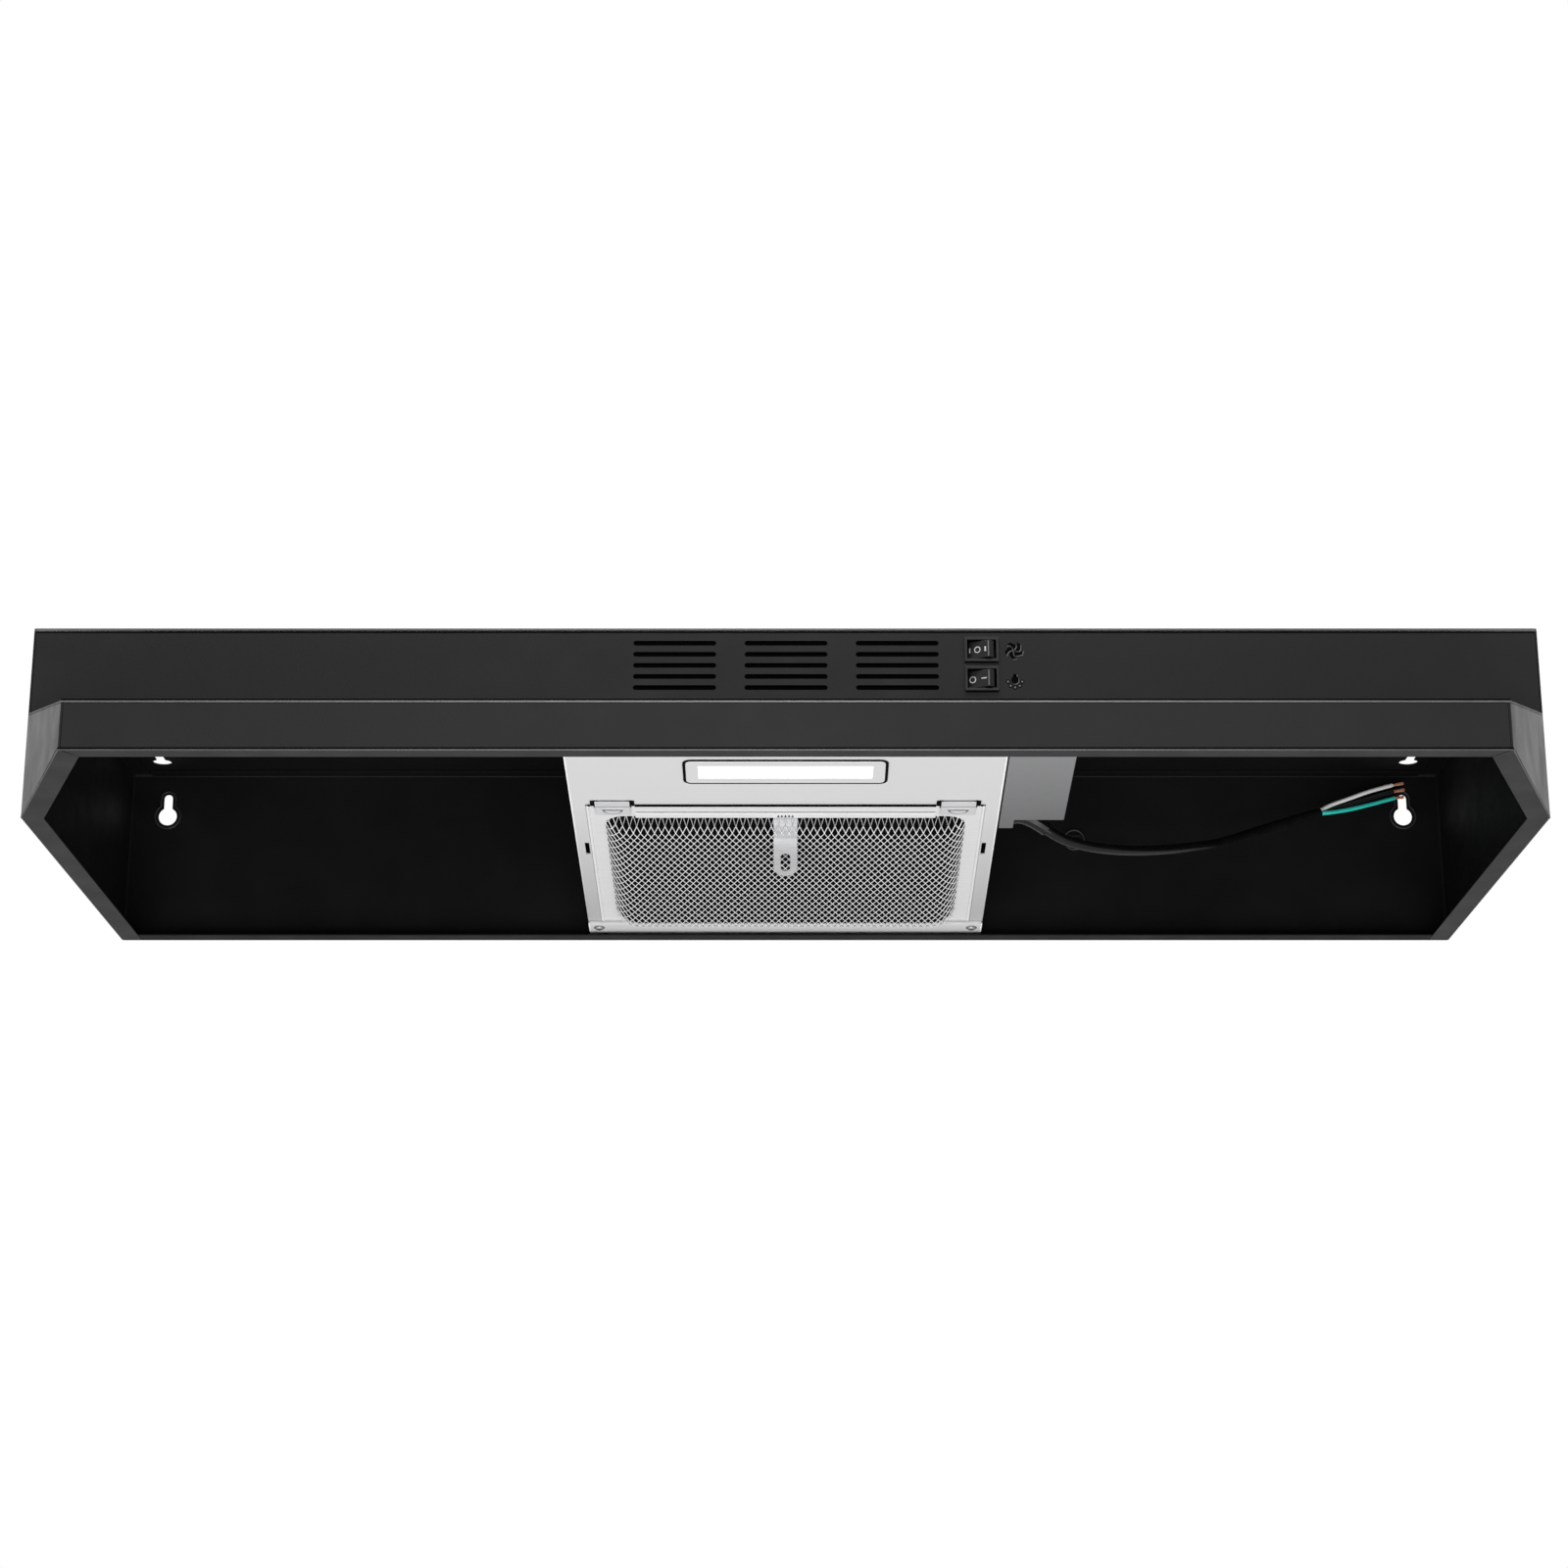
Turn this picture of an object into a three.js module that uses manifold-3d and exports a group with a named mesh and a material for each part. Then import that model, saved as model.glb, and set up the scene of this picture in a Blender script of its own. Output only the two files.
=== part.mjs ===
// Under cabinet range hood. Millimetres, +Z up, front towards -Y, origin on the top face.
import * as THREE from 'three';
import { mergeVertices } from 'three/addons/utils/BufferGeometryUtils.js';
import Module from 'manifold-3d';

const wasm = await Module();
wasm.setup();

// Overall shell
const HALF_WIDTH = 450;
const RIM_Z = -118;
const FASCIA_Y = -82;
const BACK_Y = 215;
const LIP_Y = -215;
const LIP_HALF_WIDTH = 399;
const LIP_TOP_Z = -89.5;
const VISOR_TOP_Z = -53.5;
const SHEET = 1;
const GAP = 0.3;
const HEM = 13;
const FLANGE = 12;

// Keyholes
const KEYHOLE_X = 424;
const KEYHOLE_R = 6.25;
const KEYHOLE_SLOT = 5.8;
const KEYHOLE_REACH = 12.7;
const TOP_KEYHOLE_Y = [-38, 186];
const BACK_KEYHOLE_Z = -31;
const PLUG_X = 197.8;
const PLUG_Z = -48;

// Duct knock-out, 3 1/4 by 10 inch
const DUCT_HALF_WIDTH = 127;
const DUCT_DEPTH = 82.6;

// Louvers and switches in the fascia
const LOUVER_GROUP_X = [-66.2, 0.3, 66.8];
const LOUVER_ROW_Z = [-9.3, -16.3, -23.3, -30.3, -37.3];
const LOUVER_LENGTH = 49.6;
const LOUVER_HEIGHT = 3;
const SWITCH_X = 117.2;
const FAN_SWITCH_Z = -13.6;
const LIGHT_SWITCH_Z = -32;
const ROCKER_PIVOT_Y = FASCIA_Y + 1.2;

// Sloping light and filter panel: local frame u = X, v = rearwards along the slope, w = up
const SLOPE = 0.128;
const TILT = Math.atan(SLOPE);
const SLOPE_TOP_Z = -76.9;
const TRAY_HALF_WIDTH = 131.8;
const TRAY_V = [2.5, 297.6];
const OPENING = { halfWidth: 123.2, front: 78.4, rear: 272.2 };
const LAMP = { halfWidth: 60, front: 13.8, rear: 44.6 };
const LENS = { halfWidth: 52.4, front: 20.6, rear: 37.7 };
const LATCH_U = 106.5;
const TAB = { half: 7.5, endV: 131, holeR: 3.3, holeV: [119, 130] };
const SIDE_SLOT = { u: [124.2, 127], v: [138.8, 157.6] };
const LEDGE_SCREW = { u: 125.3, v: 281.5 };

// Blower
const BLOWER_Y = 92;
const WHEEL_R = 72;
const WHEEL_INNER_R = 59;
const SHAFT_R = 3;

// Wiring box and cord
const WIRING = { left: 133.4, right: 173.2, step: 142.3, front: -78.5, rear: 19.9, stepRear: 32.5 };
const COVER_SCREW = { y: -40, z: -70 };
const GLAND_Z = -85.4;
const GLAND_Y = 26.2;
const SHEATH_R = 3.2;
const WIRE_R = 1.4;
const CORD_ROUTE = [
  [136, 26.2, -85.4], [143, 26.2, -85.4], [149, 26.6, -86.3], [156, 28.5, -88.9],
  [163, 32.5, -92.3], [171, 38.5, -95.5], [180, 44.8, -97.3], [191.6, 51.5, -98.2],
  [206.4, 62.5, -97], [225.9, 80.5, -92.7], [246.1, 101.5, -86.2], [266.9, 123, -78.3],
  [285, 141.5, -70.8], [304.5, 159.5, -60.6], [324.9, 175, -50.2], [344, 185.5, -41.8],
  [363.2, 194, -34.3],
];
const WIRE_ROUTES = {
  white: [[364, 194.5, -32.3], [372, 197.8, -27.6], [384, 201.8, -22.3], [400, 205.8, -15.6], [417, 210.2, -9.7]],
  black: [[363.4, 195.9, -34.8], [372, 199, -30.9], [385, 202.8, -26.1], [401, 206.8, -20], [417.6, 210.8, -14.2]],
  green: [[364.5, 193.2, -34.8], [373, 196.4, -33], [386, 201.6, -29.4], [402, 206.6, -24.2], [418.2, 211.2, -18.6]],
};
const TIP_ENDS = {
  white: [425.2, 212.8, -7.4],
  black: [425.6, 213, -12],
  green: [425, 214.1, -17.2],
};

const FINISH = {
  paint: { color: 0x2b2b2c, roughness: 0.5, metalness: 0.2 },
  silver: { color: 0xc9cacb, roughness: 0.42, metalness: 0.6 },
  zinc: { color: 0x8f9294, roughness: 0.5, metalness: 0.7 },
  aluminium: { color: 0xd5d6d8, roughness: 0.35, metalness: 0.8 },
  darkPlastic: { color: 0x161617, roughness: 0.45, metalness: 0 },
  whitePlastic: { color: 0xe6e6e2, roughness: 0.4, metalness: 0 },
  lens: { color: 0xf6f6f0, roughness: 0.3, metalness: 0 },
  board: { color: 0xe8ece8, roughness: 0.5, metalness: 0 },
  cord: { color: 0x141414, roughness: 0.6, metalness: 0 },
  whiteWire: { color: 0xe9e9e6, roughness: 0.45, metalness: 0 },
  greenWire: { color: 0x2fc4ae, roughness: 0.45, metalness: 0 },
  copper: { color: 0xb87352, roughness: 0.35, metalness: 0.9 },
  screw: { color: 0xb4b6b8, roughness: 0.35, metalness: 0.9 },
};

// ---- geometry helpers -------------------------------------------------------------

function toSolid(geometry) {
  let g = geometry.index ? geometry.toNonIndexed() : geometry;
  g = g.clone();
  g.deleteAttribute('normal');
  g.deleteAttribute('uv');
  g = mergeVertices(g, 1e-4);
  return new wasm.Manifold(new wasm.Mesh({
    numProp: 3,
    vertProperties: new Float32Array(g.attributes.position.array),
    triVerts: new Uint32Array(g.index.array),
  }));
}

function toGeometry(solid) {
  const mesh = solid.getMesh();
  const g = new THREE.BufferGeometry();
  g.setAttribute('position', new THREE.BufferAttribute(new Float32Array(mesh.vertProperties), 3));
  g.setIndex(new THREE.BufferAttribute(new Uint32Array(mesh.triVerts), 1));
  g.computeVertexNormals();
  return g;
}

function union(...solids) {
  return solids.reduce((a, b) => a.add(b));
}

function cut(solid, ...tools) {
  return tools.reduce((a, b) => a.subtract(b), solid);
}

function box(x, y, z) {
  const g = new THREE.BoxGeometry(x[1] - x[0], y[1] - y[0], z[1] - z[0]);
  g.translate((x[0] + x[1]) / 2, (y[0] + y[1]) / 2, (z[0] + z[1]) / 2);
  return toSolid(g);
}

function extrude(points, depth, steps) {
  const shape = new THREE.Shape(points.map(([a, b]) => new THREE.Vector2(a, b)));
  return new THREE.ExtrudeGeometry(shape, { depth, bevelEnabled: false, steps: steps || 1 });
}

// Outline in X and Y, raised from z0 to z1
function prismZ(points, z0, z1) {
  return toSolid(extrude(points, z1 - z0).translate(0, 0, z0));
}

// Outline in Y and Z, run from x0 to x1
function prismX(points, x0, x1) {
  const basis = new THREE.Matrix4().makeBasis(
    new THREE.Vector3(0, 1, 0), new THREE.Vector3(0, 0, 1), new THREE.Vector3(1, 0, 0));
  return toSolid(extrude(points, x1 - x0).applyMatrix4(basis).translate(x0, 0, 0));
}

// Outline in X and Z, run from y0 to y1
function prismY(points, y0, y1) {
  const basis = new THREE.Matrix4().makeBasis(
    new THREE.Vector3(1, 0, 0), new THREE.Vector3(0, 0, 1), new THREE.Vector3(0, -1, 0));
  return toSolid(extrude(points, y1 - y0).applyMatrix4(basis).translate(0, y1, 0));
}

function ringPoints(radius, segments, cx, cy) {
  const points = [];
  for (let i = 0; i < segments; i += 1) {
    const a = (2 * Math.PI * i) / segments;
    points.push([cx + radius * Math.cos(a), cy + radius * Math.sin(a)]);
  }
  return points;
}

function roundedRect(x0, x1, y0, y1, radius, perCorner) {
  const points = [];
  const corners = [[x1 - radius, y1 - radius], [x0 + radius, y1 - radius],
    [x0 + radius, y0 + radius], [x1 - radius, y0 + radius]];
  corners.forEach(([cx, cy], quarter) => {
    for (let i = 0; i <= perCorner; i += 1) {
      const a = (Math.PI / 2) * (quarter + i / perCorner);
      points.push([cx + radius * Math.cos(a), cy + radius * Math.sin(a)]);
    }
  });
  return points;
}

// Closed solid between two outlines of equal point count
function loft(lower, z0, upper, z1) {
  const n = lower.length;
  const vertices = [];
  lower.forEach(([x, y]) => vertices.push(x, y, z0));
  upper.forEach(([x, y]) => vertices.push(x, y, z1));
  const faces = [];
  for (let i = 0; i < n; i += 1) {
    const j = (i + 1) % n;
    faces.push(i, j, n + j, i, n + j, n + i);
  }
  for (let i = 1; i < n - 1; i += 1) {
    faces.push(0, i + 1, i, n, n + i, n + i + 1);
  }
  return new wasm.Manifold(new wasm.Mesh({
    numProp: 3,
    vertProperties: new Float32Array(vertices),
    triVerts: new Uint32Array(faces),
  }));
}

// Turned solid about a vertical axis; the profile is closed or ends on the axis
function turned(profile, segments) {
  const g = new THREE.LatheGeometry(profile.map(([r, z]) => new THREE.Vector2(r, z)), segments);
  g.rotateX(Math.PI / 2);
  return toSolid(g);
}

function placed(solid, x, y, z) {
  return solid.translate([x, y, z]);
}

// From the sloping panel's local frame to the hood's frame
function onSlope(solid) {
  return solid.rotate([-THREE.MathUtils.radToDeg(TILT), 0, 0]).translate([0, FASCIA_Y, SLOPE_TOP_Z]);
}

// Everything lower than the sloping plane raised by w
function belowSlope(w) {
  const lift = w / Math.cos(TILT);
  const zAt = (y) => SLOPE_TOP_Z - SLOPE * (y - FASCIA_Y) + lift;
  const front = FASCIA_Y - 40;
  const rear = BACK_Y + 40;
  return prismX([[front, -300], [rear, -300], [rear, zAt(rear)], [front, zAt(front)]], -600, 600);
}

function tube(points, radius, sides, steps) {
  const curve = new THREE.CatmullRomCurve3(points.map((p) => new THREE.Vector3(...p)));
  const section = new THREE.Shape(ringPoints(radius, sides, 0, 0).map(([a, b]) => new THREE.Vector2(a, b)));
  return toSolid(new THREE.ExtrudeGeometry(section, { steps, bevelEnabled: false, extrudePath: curve }));
}

// Keyhole outline: a round entry at cx, cy with a slot towards the given direction
function keyholeTools(cx, cy, direction, slab) {
  const half = KEYHOLE_SLOT / 2;
  const end = cy + direction * KEYHOLE_REACH;
  const low = Math.min(cy, end);
  const high = Math.max(cy, end);
  return [
    slab(ringPoints(KEYHOLE_R, 24, cx, cy)),
    slab([[cx - half, low], [cx + half, low], [cx + half, high], [cx - half, high]]),
    slab(ringPoints(half, 16, cx, end)),
  ];
}

// ---- shell ------------------------------------------------------------------------

const VISOR_SLOPE = (VISOR_TOP_Z - LIP_TOP_Z) / (FASCIA_Y - LIP_Y);
const VISOR_DROP = SHEET * Math.hypot(1, VISOR_SLOPE);

function visorZ(y, drop) {
  return LIP_TOP_Z + VISOR_SLOPE * (y - LIP_Y) - drop;
}

// Mitre line of the right corner moved inwards by d, as the X at a given Y
function mitreX(y, d) {
  const run = FASCIA_Y - LIP_Y;
  const rise = HALF_WIDTH - LIP_HALF_WIDTH;
  return LIP_HALF_WIDTH + (rise * (y - LIP_Y)) / run - d * (Math.hypot(run, rise) / run);
}

// Y where the inset mitre line meets a given X
function mitreY(x, d) {
  const run = FASCIA_Y - LIP_Y;
  const rise = HALF_WIDTH - LIP_HALF_WIDTH;
  return LIP_Y + ((x - LIP_HALF_WIDTH + d * (Math.hypot(run, rise) / run)) * run) / rise;
}

function louverTools() {
  const tools = [];
  const radius = LOUVER_HEIGHT / 2;
  const half = LOUVER_LENGTH / 2 - radius;
  for (const x of LOUVER_GROUP_X) {
    for (const z of LOUVER_ROW_Z) {
      const slot = [];
      for (let i = 0; i <= 6; i += 1) {
        const a = -Math.PI / 2 + (Math.PI * i) / 6;
        slot.push([x + half + radius * Math.cos(a), z + radius * Math.sin(a)]);
      }
      for (let i = 0; i <= 6; i += 1) {
        const a = Math.PI / 2 + (Math.PI * i) / 6;
        slot.push([x - half + radius * Math.cos(a), z + radius * Math.sin(a)]);
      }
      tools.push(prismY(slot, FASCIA_Y - 2, FASCIA_Y + 3));
    }
  }
  return tools;
}

function frontPanel() {
  const top = -SHEET - GAP;
  const inner = FASCIA_Y + SHEET;
  const fold = [[FASCIA_Y, VISOR_TOP_Z], [LIP_Y, LIP_TOP_Z], [LIP_Y, visorZ(LIP_Y, VISOR_DROP)],
    [inner, visorZ(inner, VISOR_DROP)], [inner, top], [FASCIA_Y, top]];
  const fasciaHalf = HALF_WIDTH - SHEET - GAP;
  const visorRear = FASCIA_Y - GAP;
  const rearHalf = mitreX(visorRear, 0);
  const plan = union(
    prismZ([[-rearHalf, visorRear], [-LIP_HALF_WIDTH, LIP_Y], [LIP_HALF_WIDTH, LIP_Y], [rearHalf, visorRear]],
      -200, 10),
    box([-fasciaHalf, fasciaHalf], [visorRear - 2, inner + 1], [-200, 10]));
  const folded = prismX(fold, -HALF_WIDTH - 5, HALF_WIDTH + 5).intersect(plan);
  const lipHalf = mitreX(LIP_Y, SHEET + GAP);
  const lip = box([-lipHalf, lipHalf], [LIP_Y, LIP_Y + SHEET], [RIM_Z, visorZ(LIP_Y, VISOR_DROP / 2)]);
  const hemEnd = mitreX(LIP_Y + HEM, HEM) - GAP;
  const hem = prismZ([[-lipHalf, LIP_Y], [lipHalf, LIP_Y], [hemEnd, LIP_Y + HEM], [-hemEnd, LIP_Y + HEM]],
    RIM_Z, RIM_Z + SHEET);
  const flangeHalf = HALF_WIDTH - SHEET - HEM;
  const flange = box([-flangeHalf, flangeHalf], [FASCIA_Y + SHEET / 2, FASCIA_Y + FLANGE], [top - SHEET, top]);
  const switchTools = [FAN_SWITCH_Z, LIGHT_SWITCH_Z].map(
    (z) => box([SWITCH_X - 9.2, SWITCH_X + 9.2], [FASCIA_Y - 2, FASCIA_Y + 3], [z - 6.7, z + 6.7]));
  return cut(union(folded, lip, hem, flange), ...louverTools(), ...switchTools);
}

function rightSidePanel() {
  const top = -SHEET - GAP;
  const plate = box([HALF_WIDTH - SHEET, HALF_WIDTH], [FASCIA_Y, BACK_Y], [RIM_Z, top]);
  const cheekPlan = prismZ([[LIP_HALF_WIDTH, LIP_Y], [HALF_WIDTH, FASCIA_Y],
    [HALF_WIDTH - SHEET, mitreY(HALF_WIDTH - SHEET, SHEET)], [mitreX(LIP_Y, SHEET), LIP_Y]], RIM_Z, top);
  const drop = VISOR_DROP + GAP;
  const underVisor = prismX([[LIP_Y - 1, RIM_Z - 1], [FASCIA_Y, RIM_Z - 1],
    [FASCIA_Y, visorZ(FASCIA_Y, drop)], [LIP_Y - 1, visorZ(LIP_Y - 1, drop)]], 300, 500);
  const hem = prismZ([[LIP_HALF_WIDTH, LIP_Y], [HALF_WIDTH, FASCIA_Y], [HALF_WIDTH, BACK_Y],
    [HALF_WIDTH - HEM, BACK_Y], [HALF_WIDTH - HEM, mitreY(HALF_WIDTH - HEM, HEM)],
    [mitreX(LIP_Y + HEM, HEM), LIP_Y + HEM]], RIM_Z, RIM_Z + SHEET);
  const flange = box([HALF_WIDTH - FLANGE, HALF_WIDTH - SHEET / 2], [FASCIA_Y + FLANGE + 1, BACK_Y - FLANGE - 2],
    [top - SHEET, top]);
  return union(plate, cheekPlan.intersect(underVisor), hem, flange);
}

function leftSidePanel() {
  return rightSidePanel().mirror([1, 0, 0]);
}

// Four corner-broken slits that leave bridging tabs round a rectangular knock-out
function knockoutTools(x0, x1, y0, y1, slab) {
  const width = 1;
  const tab = 5;
  const middle = (x0 + x1) / 2;
  const runs = [[x0, middle - tab], [middle + tab, x1]];
  const tools = [];
  for (const [a, b] of runs) {
    for (const y of [y0, y1]) {
      tools.push(slab([[a, y - width / 2], [b, y - width / 2], [b, y + width / 2], [a, y + width / 2]]));
    }
  }
  for (const x of [x0, x1]) {
    tools.push(slab([[x - width / 2, y0 + tab], [x + width / 2, y0 + tab],
      [x + width / 2, y1 - tab], [x - width / 2, y1 - tab]]));
  }
  return tools;
}

function topPanel() {
  const plate = box([-HALF_WIDTH, HALF_WIDTH], [FASCIA_Y, BACK_Y], [-SHEET, 0]);
  const slab = (points) => prismZ(points, -SHEET - 1, 1);
  const tools = knockoutTools(-DUCT_HALF_WIDTH, DUCT_HALF_WIDTH, 118, 118 + DUCT_DEPTH, slab);
  for (const x of [-KEYHOLE_X, KEYHOLE_X]) {
    for (const y of TOP_KEYHOLE_Y) {
      tools.push(...keyholeTools(x, y, -1, slab));
    }
  }
  return cut(plate, ...tools);
}

function backPanel() {
  const half = HALF_WIDTH - SHEET - GAP;
  const hemHalf = HALF_WIDTH - HEM - GAP;
  const top = -SHEET - GAP;
  const plate = box([-half, half], [BACK_Y - SHEET, BACK_Y], [RIM_Z + SHEET + GAP, top]);
  const rim = box([-hemHalf, hemHalf], [BACK_Y - SHEET, BACK_Y], [RIM_Z, RIM_Z + 2 * SHEET]);
  const hem = box([-hemHalf, hemHalf], [BACK_Y - HEM, BACK_Y - SHEET / 2], [RIM_Z, RIM_Z + SHEET]);
  const flange = box([-hemHalf + 1, hemHalf - 1], [BACK_Y - FLANGE, BACK_Y - SHEET / 2], [top - SHEET, top]);
  const slab = (points) => prismY(points, BACK_Y - SHEET - 1, BACK_Y + 1);
  const tools = knockoutTools(-DUCT_HALF_WIDTH, DUCT_HALF_WIDTH, -97, -97 + DUCT_DEPTH, slab);
  for (const x of [-KEYHOLE_X, KEYHOLE_X]) {
    tools.push(...keyholeTools(x, BACK_KEYHOLE_Z, 1, slab));
  }
  tools.push(slab(ringPoints(6.1, 24, PLUG_X, PLUG_Z)));
  return cut(union(plate, rim, hem, flange), ...tools);
}

function holePlug() {
  const body = turned([[0, 0], [6.9, 0], [6.9, 0.9], [5.8, 1.1], [5.8, 2.2], [0, 2.2]], 24);
  const bars = [-3.2, 0, 3.2].map((y) => box([-4.2, 4.2], [y - 0.6, y + 0.6], [-0.9, 0.3]));
  const upright = union(body, ...bars);
  return placed(upright.rotate([-90, 0, 0]), PLUG_X, BACK_Y - SHEET - 0.9 - GAP, PLUG_Z);
}

// ---- sloping light and filter panel --------------------------------------------------

function lightPanel() {
  const sheet = box([-TRAY_HALF_WIDTH, TRAY_HALF_WIDTH], TRAY_V, [0, SHEET]);
  const opening = box([-OPENING.halfWidth, OPENING.halfWidth], [OPENING.front, OPENING.rear], [-1, 2]);
  const tools = [opening];
  const lampHole = roundedRect(-LAMP.halfWidth - 0.7, LAMP.halfWidth + 0.7, LAMP.front - 0.7, LAMP.rear + 0.7, 4, 4);
  tools.push(prismZ(lampHole, -1, 2));
  for (const side of [-1, 1]) {
    const middle = side * LATCH_U;
    tools.push(box([middle - 12, middle + 12], [72.2, OPENING.front + 1], [-1, 2]));
    const slot = SIDE_SLOT.u.map((u) => side * u).sort((a, b) => a - b);
    tools.push(box(slot, SIDE_SLOT.v, [-1, 2]));
    tools.push(prismZ(ringPoints(2.1, 12, side * LEDGE_SCREW.u, LEDGE_SCREW.v), -1, 2));
  }
  const plate = onSlope(cut(sheet, ...tools));
  const yFront = FASCIA_Y + 3.4;
  const yRear = BACK_Y - 5;
  const wallTop = -2.7;
  const zAt = (y) => SLOPE_TOP_Z - SLOPE * (y - FASCIA_Y) + 0.4;
  const outline = [[yFront, zAt(yFront)], [yRear, zAt(yRear)], [yRear, wallTop], [yFront, wallTop]];
  const left = prismX(outline, -TRAY_HALF_WIDTH, -TRAY_HALF_WIDTH + SHEET);
  const right = prismX(outline, TRAY_HALF_WIDTH - SHEET, TRAY_HALF_WIDTH);
  return union(plate, left, right);
}

function filterLedge() {
  const half = TRAY_HALF_WIDTH - GAP;
  const plate = box([-half, half], [272.4, TRAY_V[1]], [-SHEET - GAP, -GAP]);
  const lip = box([-half, half], [272.4, 273.2], [-2.4, -GAP]);
  const holes = [-1, 1].map((side) => prismZ(ringPoints(2.1, 12, side * LEDGE_SCREW.u, LEDGE_SCREW.v), -4, 2));
  return onSlope(cut(union(plate, lip), ...holes));
}

function ledgeScrew(side) {
  const screw = turned([[0, -2.9], [2, -2.7], [2.9, -1.9], [2.9, -1.6], [1.7, -1.6], [1.7, 4], [0, 5]], 16);
  const recess = union(box([-1.6, 1.6], [-0.35, 0.35], [-3.5, -2.3]), box([-0.35, 0.35], [-1.6, 1.6], [-3.5, -2.3]));
  return onSlope(placed(cut(screw, recess), side * LEDGE_SCREW.u, LEDGE_SCREW.v, 0));
}

function lampBezel() {
  const plate = prismZ(roundedRect(-LAMP.halfWidth, LAMP.halfWidth, LAMP.front, LAMP.rear, 3.4, 4), -0.9, 0.9);
  const housing = box([-57, 57], [16.5, 42], [0.9, 12]);
  const hollow = box([-55.4, 55.4], [18.1, 40.4], [0.9, 14]);
  const window = box([-LENS.halfWidth, LENS.halfWidth], [LENS.front, LENS.rear], [-2, 3]);
  return onSlope(cut(union(plate, cut(housing, hollow)), window));
}

function lampLens() {
  const face = box([-LENS.halfWidth + GAP, LENS.halfWidth - GAP], [LENS.front + GAP, LENS.rear - GAP], [-0.5, 1.2]);
  const rim = box([-54.6, 54.6], [18.8, 39.6], [1.2, 2.4]);
  return onSlope(union(face, rim));
}

function ledBoard() {
  const board = box([-54.6, 54.6], [21, 37.4], [6.4, 8]);
  const chips = [];
  for (let i = 0; i < 10; i += 1) {
    const x = -47.25 + i * 10.5;
    chips.push(box([x - 1.6, x + 1.6], [27.4, 31], [5.5, 6.5]));
  }
  return onSlope(union(board, ...chips));
}

function ledDriver() {
  const body = box([99, 127], [-52, 6], [-24, -1.6]);
  const ears = box([109, 117], [-58, 12], [-3.2, -1.6]);
  return union(body, ears);
}

// ---- filter -------------------------------------------------------------------------

function filterFrame() {
  const outer = [[-122.4, 122.4], [80, 270.6]];
  const plate = box(...outer, [0, SHEET]);
  const window = prismZ(roundedRect(-112, 112, 96.6, 263.2, 12, 4), -1, 2);
  const walls = cut(box(...outer, [0, 8]), box([-121.4, 121.4], [81, 269.6], [-1, 9]));
  const tabs = [-1, 1].map((side) => union(
    box([side * 80 - 12, side * 80 + 12], [269.2, 278], [1.4, 2.4]),
    box([side * 80 - 12, side * 80 + 12], [269.2, 270.6], [1, 2.4])));
  const tools = [];
  for (const side of [-1, 1]) {
    const middle = side * LATCH_U;
    tools.push(box([middle - 11.6, middle + 11.6], [79, 84.4], [-1, 9]));
    tools.push(box([middle - 2.5, middle + 2.5], [84, 94.6], [-1, 2]));
  }
  return onSlope(cut(union(cut(plate, window), walls, ...tabs), ...tools));
}

function filterMesh() {
  const outerLow = roundedRect(-103.5, 103.5, 105.5, 261.5, 26, 6);
  const outerHigh = roundedRect(-111.3, 111.3, 97.3, 262.5, 20, 6);
  const innerLow = roundedRect(-102.5, 102.5, 106.5, 260.5, 25, 6);
  const innerHigh = roundedRect(-110.3, 110.3, 98.3, 261.5, 19, 6);
  const pan = cut(loft(outerLow, -8, outerHigh, 1), loft(innerLow, -7, innerHigh, 1.01));
  const rim = cut(prismZ(outerHigh, 0.9, 3.3), prismZ(innerHigh, 0, 4));
  const flange = cut(box([-118, 118], [91, 267], [2.5, 3.3]), prismZ(innerHigh, 0, 4));
  return onSlope(union(pan, rim, flange));
}

function filterCore() {
  return onSlope(box([-120.9, 120.9], [81.5, 269.1], [5, 6.6]));
}

function pullTab() {
  const strip = prismX([[88, -1.2], [96.2, -1.2], [103.2, -9.1], [138.4, -22.9], [138.8, -21.9],
    [104.2, -8.3], [97.2, -0.3], [88, -0.3]], -TAB.half, TAB.half);
  const plan = union(box([-TAB.half, TAB.half], [87, TAB.endV], [-40, 5]),
    prismZ(ringPoints(TAB.half, 24, 0, TAB.endV), -40, 5));
  const hole = union(box([-TAB.holeR, TAB.holeR], TAB.holeV, [-40, 5]),
    ...TAB.holeV.map((v) => prismZ(ringPoints(TAB.holeR, 16, 0, v), -40, 5)));
  return onSlope(cut(strip.intersect(plan), hole));
}

function latch(side) {
  const u = side * LATCH_U;
  const plate = box([u - 10.7, u + 10.7], [73, 92], [-1.3, -GAP]);
  const web = box([u - 9, u + 9], [75.6, 77.2], [-0.8, 2.3]);
  const tongue = box([u - 9, u + 9], [68.6, 77.2], [1.3, 2.3]);
  const stud = box([u - 2, u + 2], [85, 89], [-0.8, 1.8]);
  const head = box([u - 4.5, u + 4.5], [83.2, 90.6], [1.3, 2.2]);
  const moon = [];
  for (let i = 0; i <= 10; i += 1) {
    const a = (Math.PI * i) / 10;
    moon.push([u + 6.5 * Math.cos(a), 82 + 6.5 * Math.sin(a)]);
  }
  return onSlope(union(plate, web, tongue, stud, head, prismZ(moon, -2.1, -1)));
}

// ---- switches -----------------------------------------------------------------------

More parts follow.
